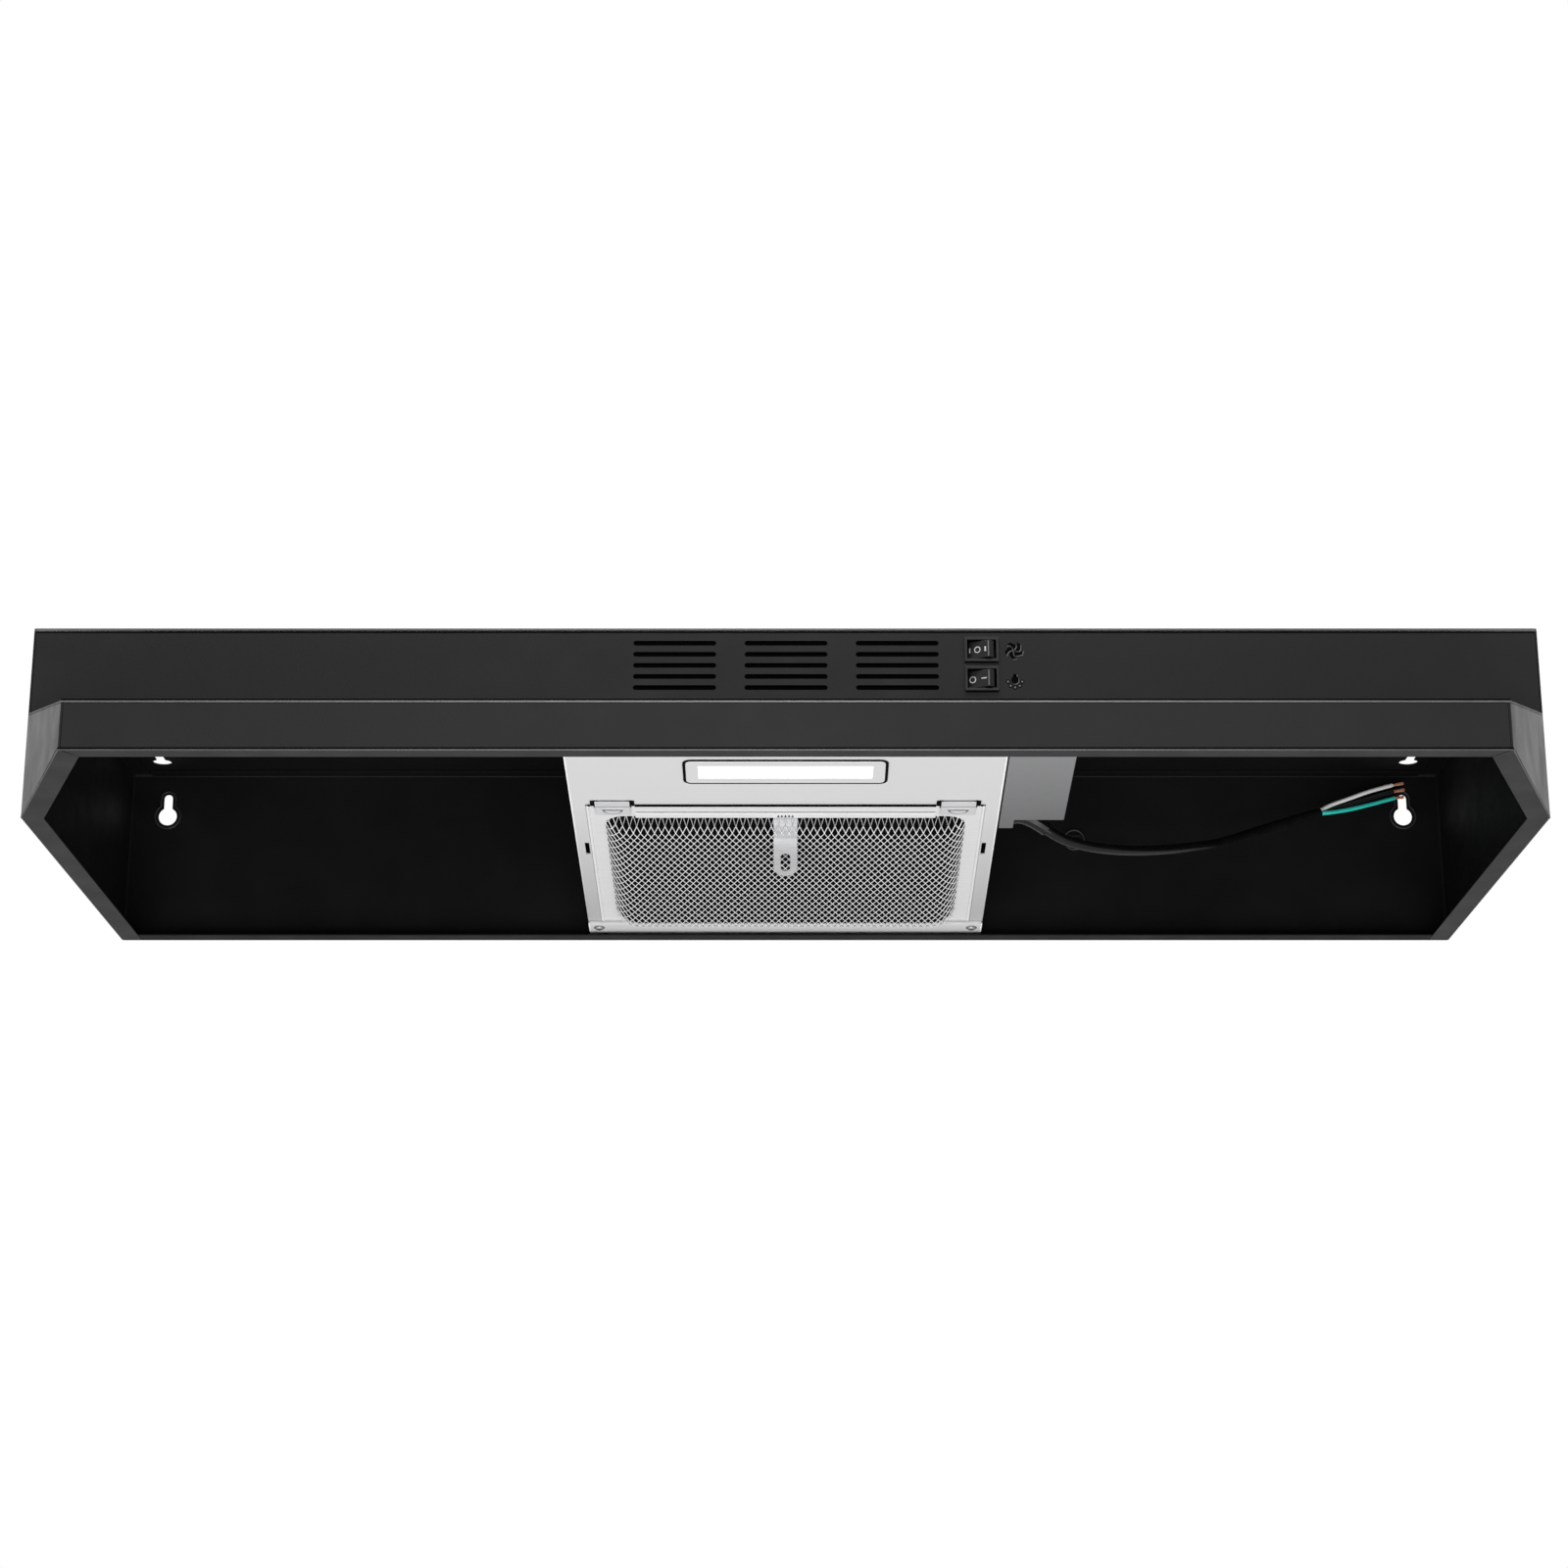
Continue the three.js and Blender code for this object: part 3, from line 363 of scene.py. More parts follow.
MAT = {
    "paint": paint_material(),
    "inside": painted_shade_inside_material(),
    # painted highlights along the folds of the sheet
    "edge": plastic_material("rounded_paint_edge", (0.085, 0.085, 0.087), 0.4),
    "edge_bright": plastic_material("bright_paint_edge", (0.17, 0.17, 0.174), 0.38),
    "collar": plastic_material("black_collar_with_painted_highlight", (0.022, 0.022, 0.023), 0.45),
    "felt_and_shade": felt_material(),
    "silver": silver_material("silver_paint", False),
    # silver paint with painted shade beside the filter
    "silver_panel": silver_material("silver_panel_paint_with_painted_shade", True),
    "latch": latch_material(),
    "frame": aluminium_material("rolled_aluminium", (0.80, 0.80, 0.80), (0.86, 0.86, 0.86), 0.4, 0.2),
    "mesh": aluminium_material("expanded_aluminium", (0.88, 0.885, 0.89), (0.95, 0.955, 0.96), 0.34, 0.2),
    # painted shade: the tab's aluminium is coloured darker than the frame's
    "tab": aluminium_material("tab_aluminium_painted_shade", (0.44, 0.445, 0.45), (0.56, 0.565, 0.57), 0.42, 0.25),
    # painted highlight for the panel's edges
    "rim": plastic_material("painted_highlight_rim", (0.93, 0.93, 0.93), 0.4),
    # grey for grooves, and also painted shade in recesses and for shadow lines
    "groove_and_shade": plastic_material("grey_groove_and_painted_shade", (0.11, 0.11, 0.112), 0.7),
    "core": mesh_core_material(),
    "zinc": zinc_material(),
    "wiring": wiring_material(),
    "black": plastic_material("black_plastic", (0.013, 0.013, 0.014), 0.38),
    "black_gloss": plastic_material("black_gloss", (0.008, 0.008, 0.009), 0.4, 2500.0),
    "white": plastic_material("white_plastic", (0.76, 0.76, 0.73), 0.42),
    "board": plastic_material("white_board", (0.78, 0.80, 0.78), 0.5),
    # painted highlight grey for the icon edges, the rocker ridges and the dot cores
    "glint": plastic_material("lit_edge", (0.24, 0.24, 0.24), 0.5),
    "print": plastic_material("white_print", (0.92, 0.92, 0.91), 0.5),
    "sheath": plastic_material("black_vinyl", (0.004, 0.004, 0.0045), 0.22, 300.0, 0.004),
    "wire_black": plastic_material("black_insulation", (0.010, 0.010, 0.011), 0.36, 900.0),
    "wire_white": plastic_material("white_insulation", (0.97, 0.97, 0.96), 0.4, 900.0, 0.03),
    "wire_green": plastic_material("green_insulation", (0.03, 0.62, 0.51), 0.4, 900.0, 0.03),
    "copper": copper_material(),
    "screw": screw_material(),
    "lens": lens_material(),
}


# ---- cord ----------------------------------------------------------------------------

CORD_ROUTE = [
    (136, 26.2, -85.4), (143, 26.2, -85.4), (149, 26.6, -86.3), (156, 28.5, -88.9),
    (163, 32.5, -92.3), (171, 38.5, -95.5), (180, 44.8, -97.3), (191.6, 51.5, -98.2),
    (206.4, 62.5, -97), (225.9, 80.5, -92.7), (246.1, 101.5, -86.2), (266.9, 123, -78.3),
    (285, 141.5, -70.8), (304.5, 159.5, -60.6), (324.9, 175, -50.2), (344, 185.5, -41.8),
    (363.2, 194, -34.3),
]
WIRE_ROUTES = {
    "white": [(364, 194.5, -32.3), (372, 197.8, -27.6), (384, 201.8, -22.3), (400, 205.8, -15.6),
              (417, 210.2, -9.7)],
    "black": [(363.4, 195.9, -34.8), (372, 199, -30.9), (385, 202.8, -26.1), (401, 206.8, -20),
              (417.6, 210.8, -14.2)],
    "green": [(364.5, 193.2, -34.8), (373, 196.4, -33), (386, 201.6, -29.4), (402, 206.6, -24.2),
              (418.2, 211.2, -18.6)],
}
TIP_ENDS = {"white": (425.2, 212.8, -7.4), "black": (425.6, 213, -12), "green": (425, 214.1, -17.2)}
SHEATH_D = 6.4
WIRE_D = 2.8
STRAND_RADIUS = 0.32
STRAND_STEPS = 15


def cord_curve(name, points, diameter, material, node):
    curve = bpy.data.curves.new(name, "CURVE")
    curve.dimensions = "3D"
    curve.bevel_depth = diameter / 2 * MM
    curve.bevel_resolution = 5
    curve.use_fill_caps = True
    spline = curve.splines.new("POLY")
    spline.points.add(len(points) - 1)
    for point, p in zip(spline.points, points):
        point.co = (p[0] * MM, p[1] * MM, p[2] * MM, 1)
    spline.use_smooth = True
    piece = bpy.data.objects.new(name, curve)
    scene.collection.objects.link(piece)
    curve.materials.append(MAT[material])
    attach(piece, "hood")
    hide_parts(node)
    return piece


def copper_tip(name, start, end):
    """Seven fine strands twisted together, a little splayed at the end."""
    start = np.array(start, float)
    end = np.array(end, float)
    ahead = (end - start) / np.linalg.norm(end - start)
    side = np.cross(ahead, (0, 0, 1.0))
    side /= np.linalg.norm(side)
    over = np.cross(side, ahead)
    vertices = []
    faces = []
    for strand in range(7):
        points = []
        for i in range(STRAND_STEPS):
            t = i / (STRAND_STEPS - 1)
            reach = 0.0 if strand == 0 else 0.68 + 0.2 * t * t
            a = 2 * math.pi * strand / 6 + 2.6 * t
            points.append(start + (end - start) * t + reach * (math.cos(a) * side + math.sin(a) * over))
        v, f = tube_rings(points, [STRAND_RADIUS] * STRAND_STEPS, 8)
        faces += [tuple(k + len(vertices) for k in face) for face in f]
        vertices += v
    return mesh_from(name, [v * MM for v in vertices], faces, smooth=True)


def make_cords():
    route = catmull(CORD_ROUTE, 8)
    sheath = cord_curve("lead_sheath", route, SHEATH_D, "sheath", "cord_sheath")
    for colour, points in WIRE_ROUTES.items():
        line = catmull(points, 8)
        wire = cord_curve(f"lead_wire_{colour}", line, WIRE_D, f"wire_{colour}", f"wire_{colour}")
        tip = copper_tip(f"lead_copper_{colour}", points[-1], TIP_ENDS[colour])
        finish_piece(tip, "hood", "copper", [f"wire_tip_{colour}"])


make_cords()


# ---- CAD pieces carried over with rounded edges --------------------------------------

SHARP_EDGE = math.radians(30)
FLAT_JOIN = math.radians(0.6)


def rounded_copy(node, name, body, material, edge_radius, segments=2, inner=None):
    """The CAD node's shape with its edges rounded; inner faces may take a second material, which on the
    shell is painted shade.
    """
    mesh = NODES[node].data.copy()
    piece = link(name, mesh)
    bm = bmesh.new()
    bm.from_mesh(mesh)
    bmesh.ops.remove_doubles(bm, verts=bm.verts, dist=2e-6)
    bmesh.ops.dissolve_limit(bm, angle_limit=FLAT_JOIN, verts=bm.verts, edges=bm.edges)
    layer = bm.edges.layers.float.new("bevel_weight_edge")
    for edge in bm.edges:
        if len(edge.link_faces) == 2 and edge.calc_face_angle(0.0) > SHARP_EDGE:
            edge[layer] = 1.0
    for face in bm.faces:
        face.smooth = True
        in_painted_shade = inner and faces_inside(face.calc_center_median() / MM, face.normal)
        face.material_index = 1 if in_painted_shade else 0
    bm.to_mesh(mesh)
    bm.free()
    bevel = piece.modifiers.new("round", "BEVEL")
    bevel.limit_method = "WEIGHT"
    bevel.width = edge_radius * MM
    bevel.segments = segments
    bevel.use_clamp_overlap = True
    bevel.face_strength_mode = "FSTR_AFFECTED"
    flat = piece.modifiers.new("even", "WEIGHTED_NORMAL")
    flat.mode = "FACE_AREA"
    flat.weight = 100
    flat.use_face_influence = True
    indices = [polygon.material_index for polygon in mesh.polygons]
    finish_piece(piece, body, material, [node])
    if inner:
        mesh.materials.append(MAT[inner])
        mesh.polygons.foreach_set("material_index", indices)
    return piece


# ---- shell ---------------------------------------------------------------------------

HALF_WIDTH = 450.0
FASCIA_Y = -82.0
BACK_Y = 215.0
KEYHOLE_X = 424.0
BACK_KEYHOLE_Z = -31.0
BACK_INNER_Y = 214.0
SIDE_INNER_X = 449.0
TOP_INNER_Z = -1.0
RIM_Z = -118.0
LIP_HALF = 399.0
LIP_Y = -215.0
LIP_TOP_Z = -89.5
DUCT_HALF = 127.0
TOP_DUCT_Y = (118.0, 200.6)
BACK_DUCT_Z = (-97.0, -14.4)
PLUG_X = 197.8
PLUG_Z = -48.0
PLUG_RIM_RADIUS = 6.9

# Limits that tell the faces inside the hood from those outside it; the inside faces get painted shade
HEM_FACES_Z = -112.0
UPWARD_FACES_Z = -100.0
FORWARD_FACES_Y = 150.0
REARWARD_FACES_Y = 190.0
REAR_HEM_Y = 195.0


def faces_inside(center, normal):
    """True for the faces of the shell that look into the hood, and for the underside of the rear hem;
    these take the painted-shade inside coat.
    """
    if normal.z < -0.5:
        return center.z > HEM_FACES_Z or center.y > REAR_HEM_Y
    if normal.z > 0.5:
        return center.z < UPWARD_FACES_Z
    if abs(normal.y) > 0.5:
        return center.y > FORWARD_FACES_Y if normal.y < 0 else center.y < REARWARD_FACES_Y
    return normal.x * center.x < 0


def bead(name, start, end, legs):
    """A three-sided bead of sealant that closes the seam between two panels, in the painted-shade inside
    coat.
    """
    a = np.array(start, float)
    b = np.array(end, float)
    vertices = []
    for p in (a, b):
        vertices += [p, p + np.array(legs[0], float), p + np.array(legs[1], float)]
    faces = [(0, 1, 2), (5, 4, 3), (0, 3, 4, 1), (1, 4, 5, 2), (2, 5, 3, 0)]
    piece = mesh_from(name, [v * MM for v in vertices], faces)
    finish_piece(piece, "hood", "inside")


def make_seams():
    leg = 1.3
    drop = (0, 0, -1.6)
    low = RIM_Z + 1.1
    high = TOP_INNER_Z - 0.1
    front = FASCIA_Y + 1.05
    back = BACK_INNER_Y - 0.05
    for side, x in (("left", -SIDE_INNER_X + 0.05), ("right", SIDE_INNER_X - 0.05)):
        inward = (-leg if x > 0 else leg, 0, 0)
        bead(f"seam_back_{side}", (x, back, low), (x, back, high), (inward, (0, -leg, 0)))
        bead(f"seam_top_{side}", (x, FASCIA_Y + 1, high), (x, back, high), (inward, drop))
    for end, y, away in (("back", back, -leg), ("front", front, leg)):
        bead(f"seam_top_{end}", (-SIDE_INNER_X, y, high), (SIDE_INNER_X, y, high), ((0, away, 0), drop))


def block(name, low, high, material):
    """An upright block between two corners in millimetres."""
    corners = [(x, y, z) for z in (low[2], high[2]) for y in (low[1], high[1]) for x in (low[0], high[0])]
    faces = [(0, 2, 3, 1), (4, 5, 7, 6), (0, 1, 5, 4), (2, 6, 7, 3), (0, 4, 6, 2), (1, 3, 7, 5)]
    piece = mesh_from(name, [Vector(c) * MM for c in corners], faces)
    finish_piece(piece, "hood", material)


def top_tape(name, x, y):
    low = (x[0], y[0], TOP_INNER_Z - 0.3)
    high = (x[1], y[1], TOP_INNER_Z - 0.03)
    block(f"top_tape_{name}", low, high, "inside")


def back_tape(name, x, z):
    low = (x[0], BACK_INNER_Y - 0.3, z[0])
    high = (x[1], BACK_INNER_Y - 0.03, z[1])
    block(f"back_tape_{name}", low, high, "inside")


def make_knockout_tapes():
    """Thin tape on the inside over the cut outlines of the two duct knock-outs, in the painted-shade
    inside coat.
    """
    wide = 1.6
    across = (-DUCT_HALF, DUCT_HALF)
    for index, y in enumerate(TOP_DUCT_Y):
        top_tape(index, across, (y - wide, y + wide))
    for index, z in enumerate(BACK_DUCT_Z):
        back_tape(index, across, (z - wide, z + wide))
    for side, x in (("left", -DUCT_HALF), ("right", DUCT_HALF)):
        top_tape(side, (x - wide, x + wide), (TOP_DUCT_Y[0] - wide, TOP_DUCT_Y[1] + wide))
        back_tape(side, (x - wide, x + wide), (BACK_DUCT_Z[0] - wide, BACK_DUCT_Z[1] + wide))


def keyhole_outline(radius, half_slot, reach):
    """Points round a keyhole whose slot points up, from its own centre."""
    start = math.asin(half_slot / radius)
    points = []
    for k in range(29):
        a = math.pi / 2 + start + (2 * math.pi - 2 * start) * k / 28
        points.append((radius * math.cos(a), radius * math.sin(a)))
    for k in range(9):
        a = math.pi * k / 8
        points.append((half_slot * math.cos(a), reach - half_slot + half_slot * math.sin(a)))
    return points


def closed_tube(points, radius, sides):
    """A ring-shaped tube through a closed loop of points in millimetres."""
    n = len(points)
    pts = [np.array(p, float) for p in points]
    normal = np.cross(pts[n // 4] - pts[0], pts[n // 2] - pts[0])
    normal /= np.linalg.norm(normal)
    vertices = []
    faces = []
    for i, p in enumerate(pts):
        ahead = pts[(i + 1) % n] - pts[i - 1]
        ahead /= np.linalg.norm(ahead)
        side = np.cross(ahead, normal)
        for k in range(sides):
            a = 2 * math.pi * k / sides
            vertices.append((p + radius * (math.cos(a) * side + math.sin(a) * normal)) * MM)
    for i in range(n):
        for k in range(sides):
            j = (i + 1) % n
            m = (k + 1) % sides
            faces.append((i * sides + k, i * sides + m, j * sides + m, j * sides + k))
    return vertices, faces


def make_collars():
    """Pressed collars round the keyholes and the plugged hole in the back, in a black lighter than the
    paint: a painted highlight on their rims.
    """
    loops = {}
    for side, x in (("left", -KEYHOLE_X), ("right", KEYHOLE_X)):
        outline = keyhole_outline(radius=8.6, half_slot=5.0, reach=17.6)
        loops[f"keyhole_collar_{side}"] = [(x + u, BACK_INNER_Y - 0.1, BACK_KEYHOLE_Z + v)
                                           for u, v in outline]
    loops["plug_rim"] = [(PLUG_X + PLUG_RIM_RADIUS * math.cos(a), BACK_INNER_Y - 1.2,
                          PLUG_Z + PLUG_RIM_RADIUS * math.sin(a))
                         for a in (2 * math.pi * k / 40 for k in range(40))]
    for name, points in loops.items():
        vertices, faces = closed_tube(points, 0.55, 10)
        finish_piece(mesh_from(name, vertices, faces, smooth=True), "hood", "collar")


def rod(name, start, end, radius, material):
    """A thin straight rounded edge between two points in millimetres."""
    a = np.array(start, float)
    b = np.array(end, float)
    points = [a + (b - a) * t for t in (0.0, 0.5, 1.0)]
    vertices, faces = tube_rings(points, [radius] * 3, 10)
    piece = mesh_from(name, [v * MM for v in vertices], faces, smooth=True)
    finish_piece(piece, "hood", material)


def make_shell_edges():
    """The rounded folds of the sheet: a painted highlight line on each, with a painted shadow line behind
    some of them.
    """
    # rods in the edge colours are painted highlights; rods in felt black are painted shadow lines
    across = [
        ("top_front_fold", SIDE_INNER_X, FASCIA_Y - 0.2, TOP_INNER_Z + 0.05, 0.95, "edge_bright"),
        ("top_front_shadow_line", SIDE_INNER_X - 0.5, FASCIA_Y, TOP_INNER_Z - 1.3, 0.35, "felt_and_shade"),
        ("lip_top_shadow_line", LIP_HALF, LIP_Y, LIP_TOP_Z + 0.45, 0.6, "felt_and_shade"),
        ("lip_top_fold", LIP_HALF, LIP_Y, LIP_TOP_Z - 0.5, 0.5, "edge_bright"),
        ("lip_bottom_shadow_line", LIP_HALF, LIP_Y, RIM_Z + 1.0, 0.45, "felt_and_shade"),
        ("lip_bottom_fold", LIP_HALF, LIP_Y, RIM_Z, 0.45, "edge"),
        ("back_bottom", SIDE_INNER_X, BACK_Y - 0.4, RIM_Z + 0.1, 0.35, "edge"),
    ]
    for name, half, y, z, radius, material in across:
        rod(name, (-half, y, z), (half, y, z), radius, material)
    for side, name in ((-1, "left"), (1, "right")):
        lip = side * LIP_HALF
        fold = side * (LIP_HALF - 0.9)
        cheek = side * (HALF_WIDTH - 0.2)
        wall = side * (HALF_WIDTH - 0.3)
        hem = RIM_Z + 0.1
        lines = [
            # the lip corner and cheek rods in black are painted shadow lines; the others are painted
            # highlights
            ("lip_corner", (lip, LIP_Y, LIP_TOP_Z), (lip, LIP_Y, RIM_Z), 0.35, "inside"),
            ("lip_corner_fold", (fold, LIP_Y, LIP_TOP_Z), (fold, LIP_Y, RIM_Z), 0.3, "edge"),
            ("cheek_bottom", (lip, LIP_Y, RIM_Z), (cheek, FASCIA_Y, RIM_Z), 0.4, "edge"),
            ("cheek_shadow_line", (lip, LIP_Y, RIM_Z + 0.9), (cheek, FASCIA_Y, RIM_Z + 0.9), 0.3, "inside"),
            ("side_bottom", (wall, FASCIA_Y, hem), (wall, BACK_INNER_Y, hem), 0.35, "edge"),
        ]
        for line, start, end, radius, material in lines:
            rod(f"{line}_{name}", start, end, radius, material)


def make_shell():
    # the shell's inner faces and the rear hem's underside take the inside coat, painted shade
    rounded_copy("front_panel", "hood_front", "hood", "paint", 0.25, inner="inside")
    for side in ("left", "right"):
        rounded_copy(f"side_panel_{side}", f"hood_side_{side}", "hood", "paint", 0.25,
                     inner="inside")
    rounded_copy("top_panel", "hood_top", "hood", "paint", 0.45, 3, inner="inside")
    rounded_copy("back_panel", "hood_back", "hood", "paint", 0.25, inner="inside")
    # the knock-out plug is coloured with the painted-shade inside coat
    rounded_copy("hole_plug", "knockout_plug", "hood", "inside", 0.2)
    make_seams()
    make_knockout_tapes()
    # painted shade: a black felt sheet behind the louvers keeps the slots dark
    screen_y = FASCIA_Y + 1.4
    block("louver_shade_screen", (-97.0, screen_y, -47.0), (97.0, screen_y + 0.3, -5.0), "felt_and_shade")
    make_collars()
    make_shell_edges()


make_shell()


# ---- sloping light and filter panel --------------------------------------------------

SLOPE = 0.128
SLOPE_TOP_Z = -76.9
SLOPE_ORIGIN = Matrix.Translation((0, FASCIA_Y * MM, SLOPE_TOP_Z * MM))
SLOPE_FRAME = SLOPE_ORIGIN @ Matrix.Rotation(-math.atan(SLOPE), 4, "X")
LATCH_U = 106.5
PANEL_HALF = 131.8
PANEL_FRONT_V = 3.0
LEDGE_V = (273.4, 297.4)
LEDGE_SCREW_U = 125.3
LEDGE_SCREW_V = 281.5
RIM_RADIUS = 0.45


def on_slope(u, v, w):
    """The place in the hood's frame, in metres, of a point of the panel's own frame in millimetres."""
    return SLOPE_FRAME @ Vector((u * MM, v * MM, w * MM))


def flat_mark(name, outlines, place, thickness, body, material):
    """Thin raised shapes from 2-D outlines; place(x, y, lift) gives millimetres in the hood's frame."""
    vertices = []
    faces = []
    for outline in outlines:
        n = len(outline)
        base = len(vertices)
        vertices += [place(x, y, 0.0) for x, y in outline]
        vertices += [place(x, y, thickness) for x, y in outline]
        faces.append(tuple(base + n + k for k in range(n)))
        faces.append(tuple(base + k for k in range(n - 1, -1, -1)))
        for k in range(n):
            j = (k + 1) % n
            faces.append((base + k, base + j, base + n + j, base + n + k))
    piece = mesh_from(name, [Vector(v) * MM for v in vertices], faces)
    return finish_piece(piece, body, material)


def ring_outlines(cx, cy, r_out, r_in, segments=36):
    """A ring as a strip of small quads, so that its middle stays open."""
    outlines = []
    for k in range(segments):
        a = 2 * math.pi * k / segments
        b = 2 * math.pi * (k + 1) / segments
        outlines.append([(cx + r_in * math.cos(a), cy + r_in * math.sin(a)),
                         (cx + r_out * math.cos(a), cy + r_out * math.sin(a)),
                         (cx + r_out * math.cos(b), cy + r_out * math.sin(b)),
                         (cx + r_in * math.cos(b), cy + r_in * math.sin(b))])
    return outlines


def bar(cx, cy, w, h):
    left = cx - w / 2
    right = cx + w / 2
    low = cy - h / 2
    high = cy + h / 2
    return [(left, low), (right, low), (right, high), (left, high)]


def ellipse(cx, cy, a, b, n=20):
    angles = [2 * math.pi * k / n for k in range(n)]
    return [(cx + a * math.cos(t), cy + b * math.sin(t)) for t in angles]


def slope_box(name, u, v, w, body, material, radius=0.0):
    """A block with rounded edges in the panel's own frame."""
    corners = [(u[i], v[j], w[k]) for k in (0, 1) for j in (0, 1) for i in (0, 1)]
    faces = [(0, 2, 3, 1), (4, 5, 7, 6), (0, 1, 5, 4), (2, 6, 7, 3), (0, 4, 6, 2), (1, 3, 7, 5)]
    piece = mesh_from(name, [on_slope(*c) for c in corners], faces, smooth=True)
    if radius:
        bevel = piece.modifiers.new("round", "BEVEL")
        bevel.width = radius * MM
        bevel.segments = 3
        bevel.harden_normals = True
    return finish_piece(piece, body, material)


def rounded_loop(u_half, v0, v1, radius):
    """Outline of a rounded rectangle in the panel's own frame, anticlockwise."""
    steps = 6
    points = []
    for cu, cv, first in ((u_half - radius, v0 + radius, -90), (u_half - radius, v1 - radius, 0),
                          (radius - u_half, v1 - radius, 90), (radius - u_half, v0 + radius, 180)):
        for k in range(steps + 1):
            a = math.radians(first + 90 * k / steps)
            points.append((cu + radius * math.cos(a), cv + radius * math.sin(a)))
    return points


def slope_ring(name, outer, inner, w, body, material):
    """A flat ring between two outlines of as many points, in the panel's own frame."""
    n = len(outer)
    vertices = []
    for outline, level in ((outer, w[0]), (inner, w[0]), (inner, w[1]), (outer, w[1])):
        vertices += [on_slope(u, v, level) for u, v in outline]
    faces = []
    for band in range(4):
        for k in range(n):
            j = (k + 1) % n
            there = (band + 1) % 4
            faces.append((band * n + k, there * n + k, there * n + j, band * n + j))
    return finish_piece(mesh_from(name, vertices, faces), body, material)


def make_panel():
    rounded_copy("light_panel", "light_and_filter_panel", "hood", "silver_panel", 0.3)
    rounded_copy("filter_ledge", "filter_ledge_plate", "hood", "silver", 0.25)
    for side in ("left", "right"):
        rounded_copy(f"ledge_screw_{side}", f"ledge_screw_head_{side}", "hood", "screw", 0.12)
    rounded_copy("lamp_bezel", "lamp_surround", "hood", "silver", 0.5, 3)
    rounded_copy("lamp_lens", "lamp_diffuser", "hood", "lens", 0.25)
    rounded_copy("led_board", "led_strip_board", "hood", "board", 0.1)
    rounded_copy("led_driver", "led_driver_case", "hood", "black", 0.8, 3)
    outer = rounded_loop(61.7, 12.2, 46.4, 5.2)
    inner = rounded_loop(60.0, 13.8, 44.6, 3.5)
    slope_ring("lamp_gasket", outer, inner, (-0.6, -0.02), "hood", "felt_and_shade")
    make_latch_pockets()


def make_latch_pockets():
    """Black felt blocks painted as shade in the gaps of the panel on both sides of each latch."""
    for side, name in ((-1, "left"), (1, "right")):
        for edge in (-1, 1):
            u = sorted((side * LATCH_U + edge * 10.8, side * LATCH_U + edge * 13.6))
            place = "outer" if side == edge else "inner"
            slope_box(f"latch_gap_shade_{name}_{place}", u, (72.6, 79.9), (-0.5, -0.02), "hood", "felt_and_shade")


def panel_rim(name, start, end):
    """A fine painted highlight along an edge, between two points of the panel's own frame."""
    rod(name, on_slope(*start) / MM, on_slope(*end) / MM, RIM_RADIUS, "rim")


def make_panel_rims():
    # painted highlights along the panel's sides and the ledge's edges
    front, rear = LEDGE_V
    panel_w = 0.2
    ledge_w = -1.1
    for side, name in ((-1, "left"), (1, "right")):
        u = side * PANEL_HALF
        panel_rim(f"panel_rim_{name}", (u, PANEL_FRONT_V, panel_w), (u, front, panel_w))
        panel_rim(f"ledge_rim_{name}", (u, front, ledge_w), (u, rear, ledge_w))
    panel_rim("ledge_rim_rear", (-PANEL_HALF, rear, ledge_w), (PANEL_HALF, rear, ledge_w))


make_panel()
make_panel_rims()


# ---- filter --------------------------------------------------------------------------

PAN_U = 113.0
PAN_FRONT = 96.6
PAN_REAR = 268.4
PAN_DEPTH = 9.4
PAN_DEEPER = 2.4
CELL_SHORT = 4.4
CELL_LONG = 9.7
STRAND = 0.64


def rise(distance, run):
    """0 at the edge of the pan, 1 on its floor, with a rounded shoulder."""
    t = min(max(distance / run, 0.0), 1.0)
    return 1 - (1 - t) ** 3


def pan_height(u, v):
    """The pressed mesh pan: shallow at the front, deeper and rounder at the rear corners."""
    side = rise(PAN_U - abs(u), 19.0)
    front = rise(v - PAN_FRONT, 16.0)
    rear = rise(PAN_REAR - v, 15.0)
    depth = PAN_DEPTH + PAN_DEEPER * (v - PAN_FRONT) / (PAN_REAR - PAN_FRONT)
    return 1.4 - depth * side * front * rear


def make_mesh():
    """Expanded metal: diamond cells whose long way runs front to back."""
    columns = int(2 * PAN_U / (CELL_SHORT / 2))
    rows = int((PAN_REAR - PAN_FRONT) / (CELL_LONG / 2))
    index = {}
    vertices = []
    for j in range(rows + 1):
        for i in range(columns + 1):
            if (i + j) % 2:
                continue
            u = (i - columns / 2) * CELL_SHORT / 2
            v = PAN_FRONT + j * CELL_LONG / 2
            index[(i, j)] = len(vertices)
            vertices.append(on_slope(u, v, pan_height(u, v)))
    faces = []
    for (i, j) in index:
        ring = [(i, j), (i + 1, j + 1), (i, j + 2), (i - 1, j + 1)]
        if all(key in index for key in ring):
            faces.append([index[key] for key in ring])
    piece = mesh_from("grease_filter_mesh", vertices, faces)
    wire = piece.modifiers.new("strands", "WIREFRAME")
    wire.thickness = STRAND * MM
    wire.use_even_offset = True
    wire.use_replace = True
    finish_piece(piece, "filter", "mesh", ["filter_mesh"])


def make_filter():
    rounded_copy("filter_frame", "grease_filter_frame", "filter", "frame", 0.3)
    make_mesh()
    make_liner()
    rounded_copy("filter_core", "grease_filter_core", "filter", "core", 0.4)
    for side in ("left", "right"):
        rounded_copy(f"latch_{side}", f"filter_latch_{side}", f"latch_{side}", "latch", 0.3)
    make_frame_trim()


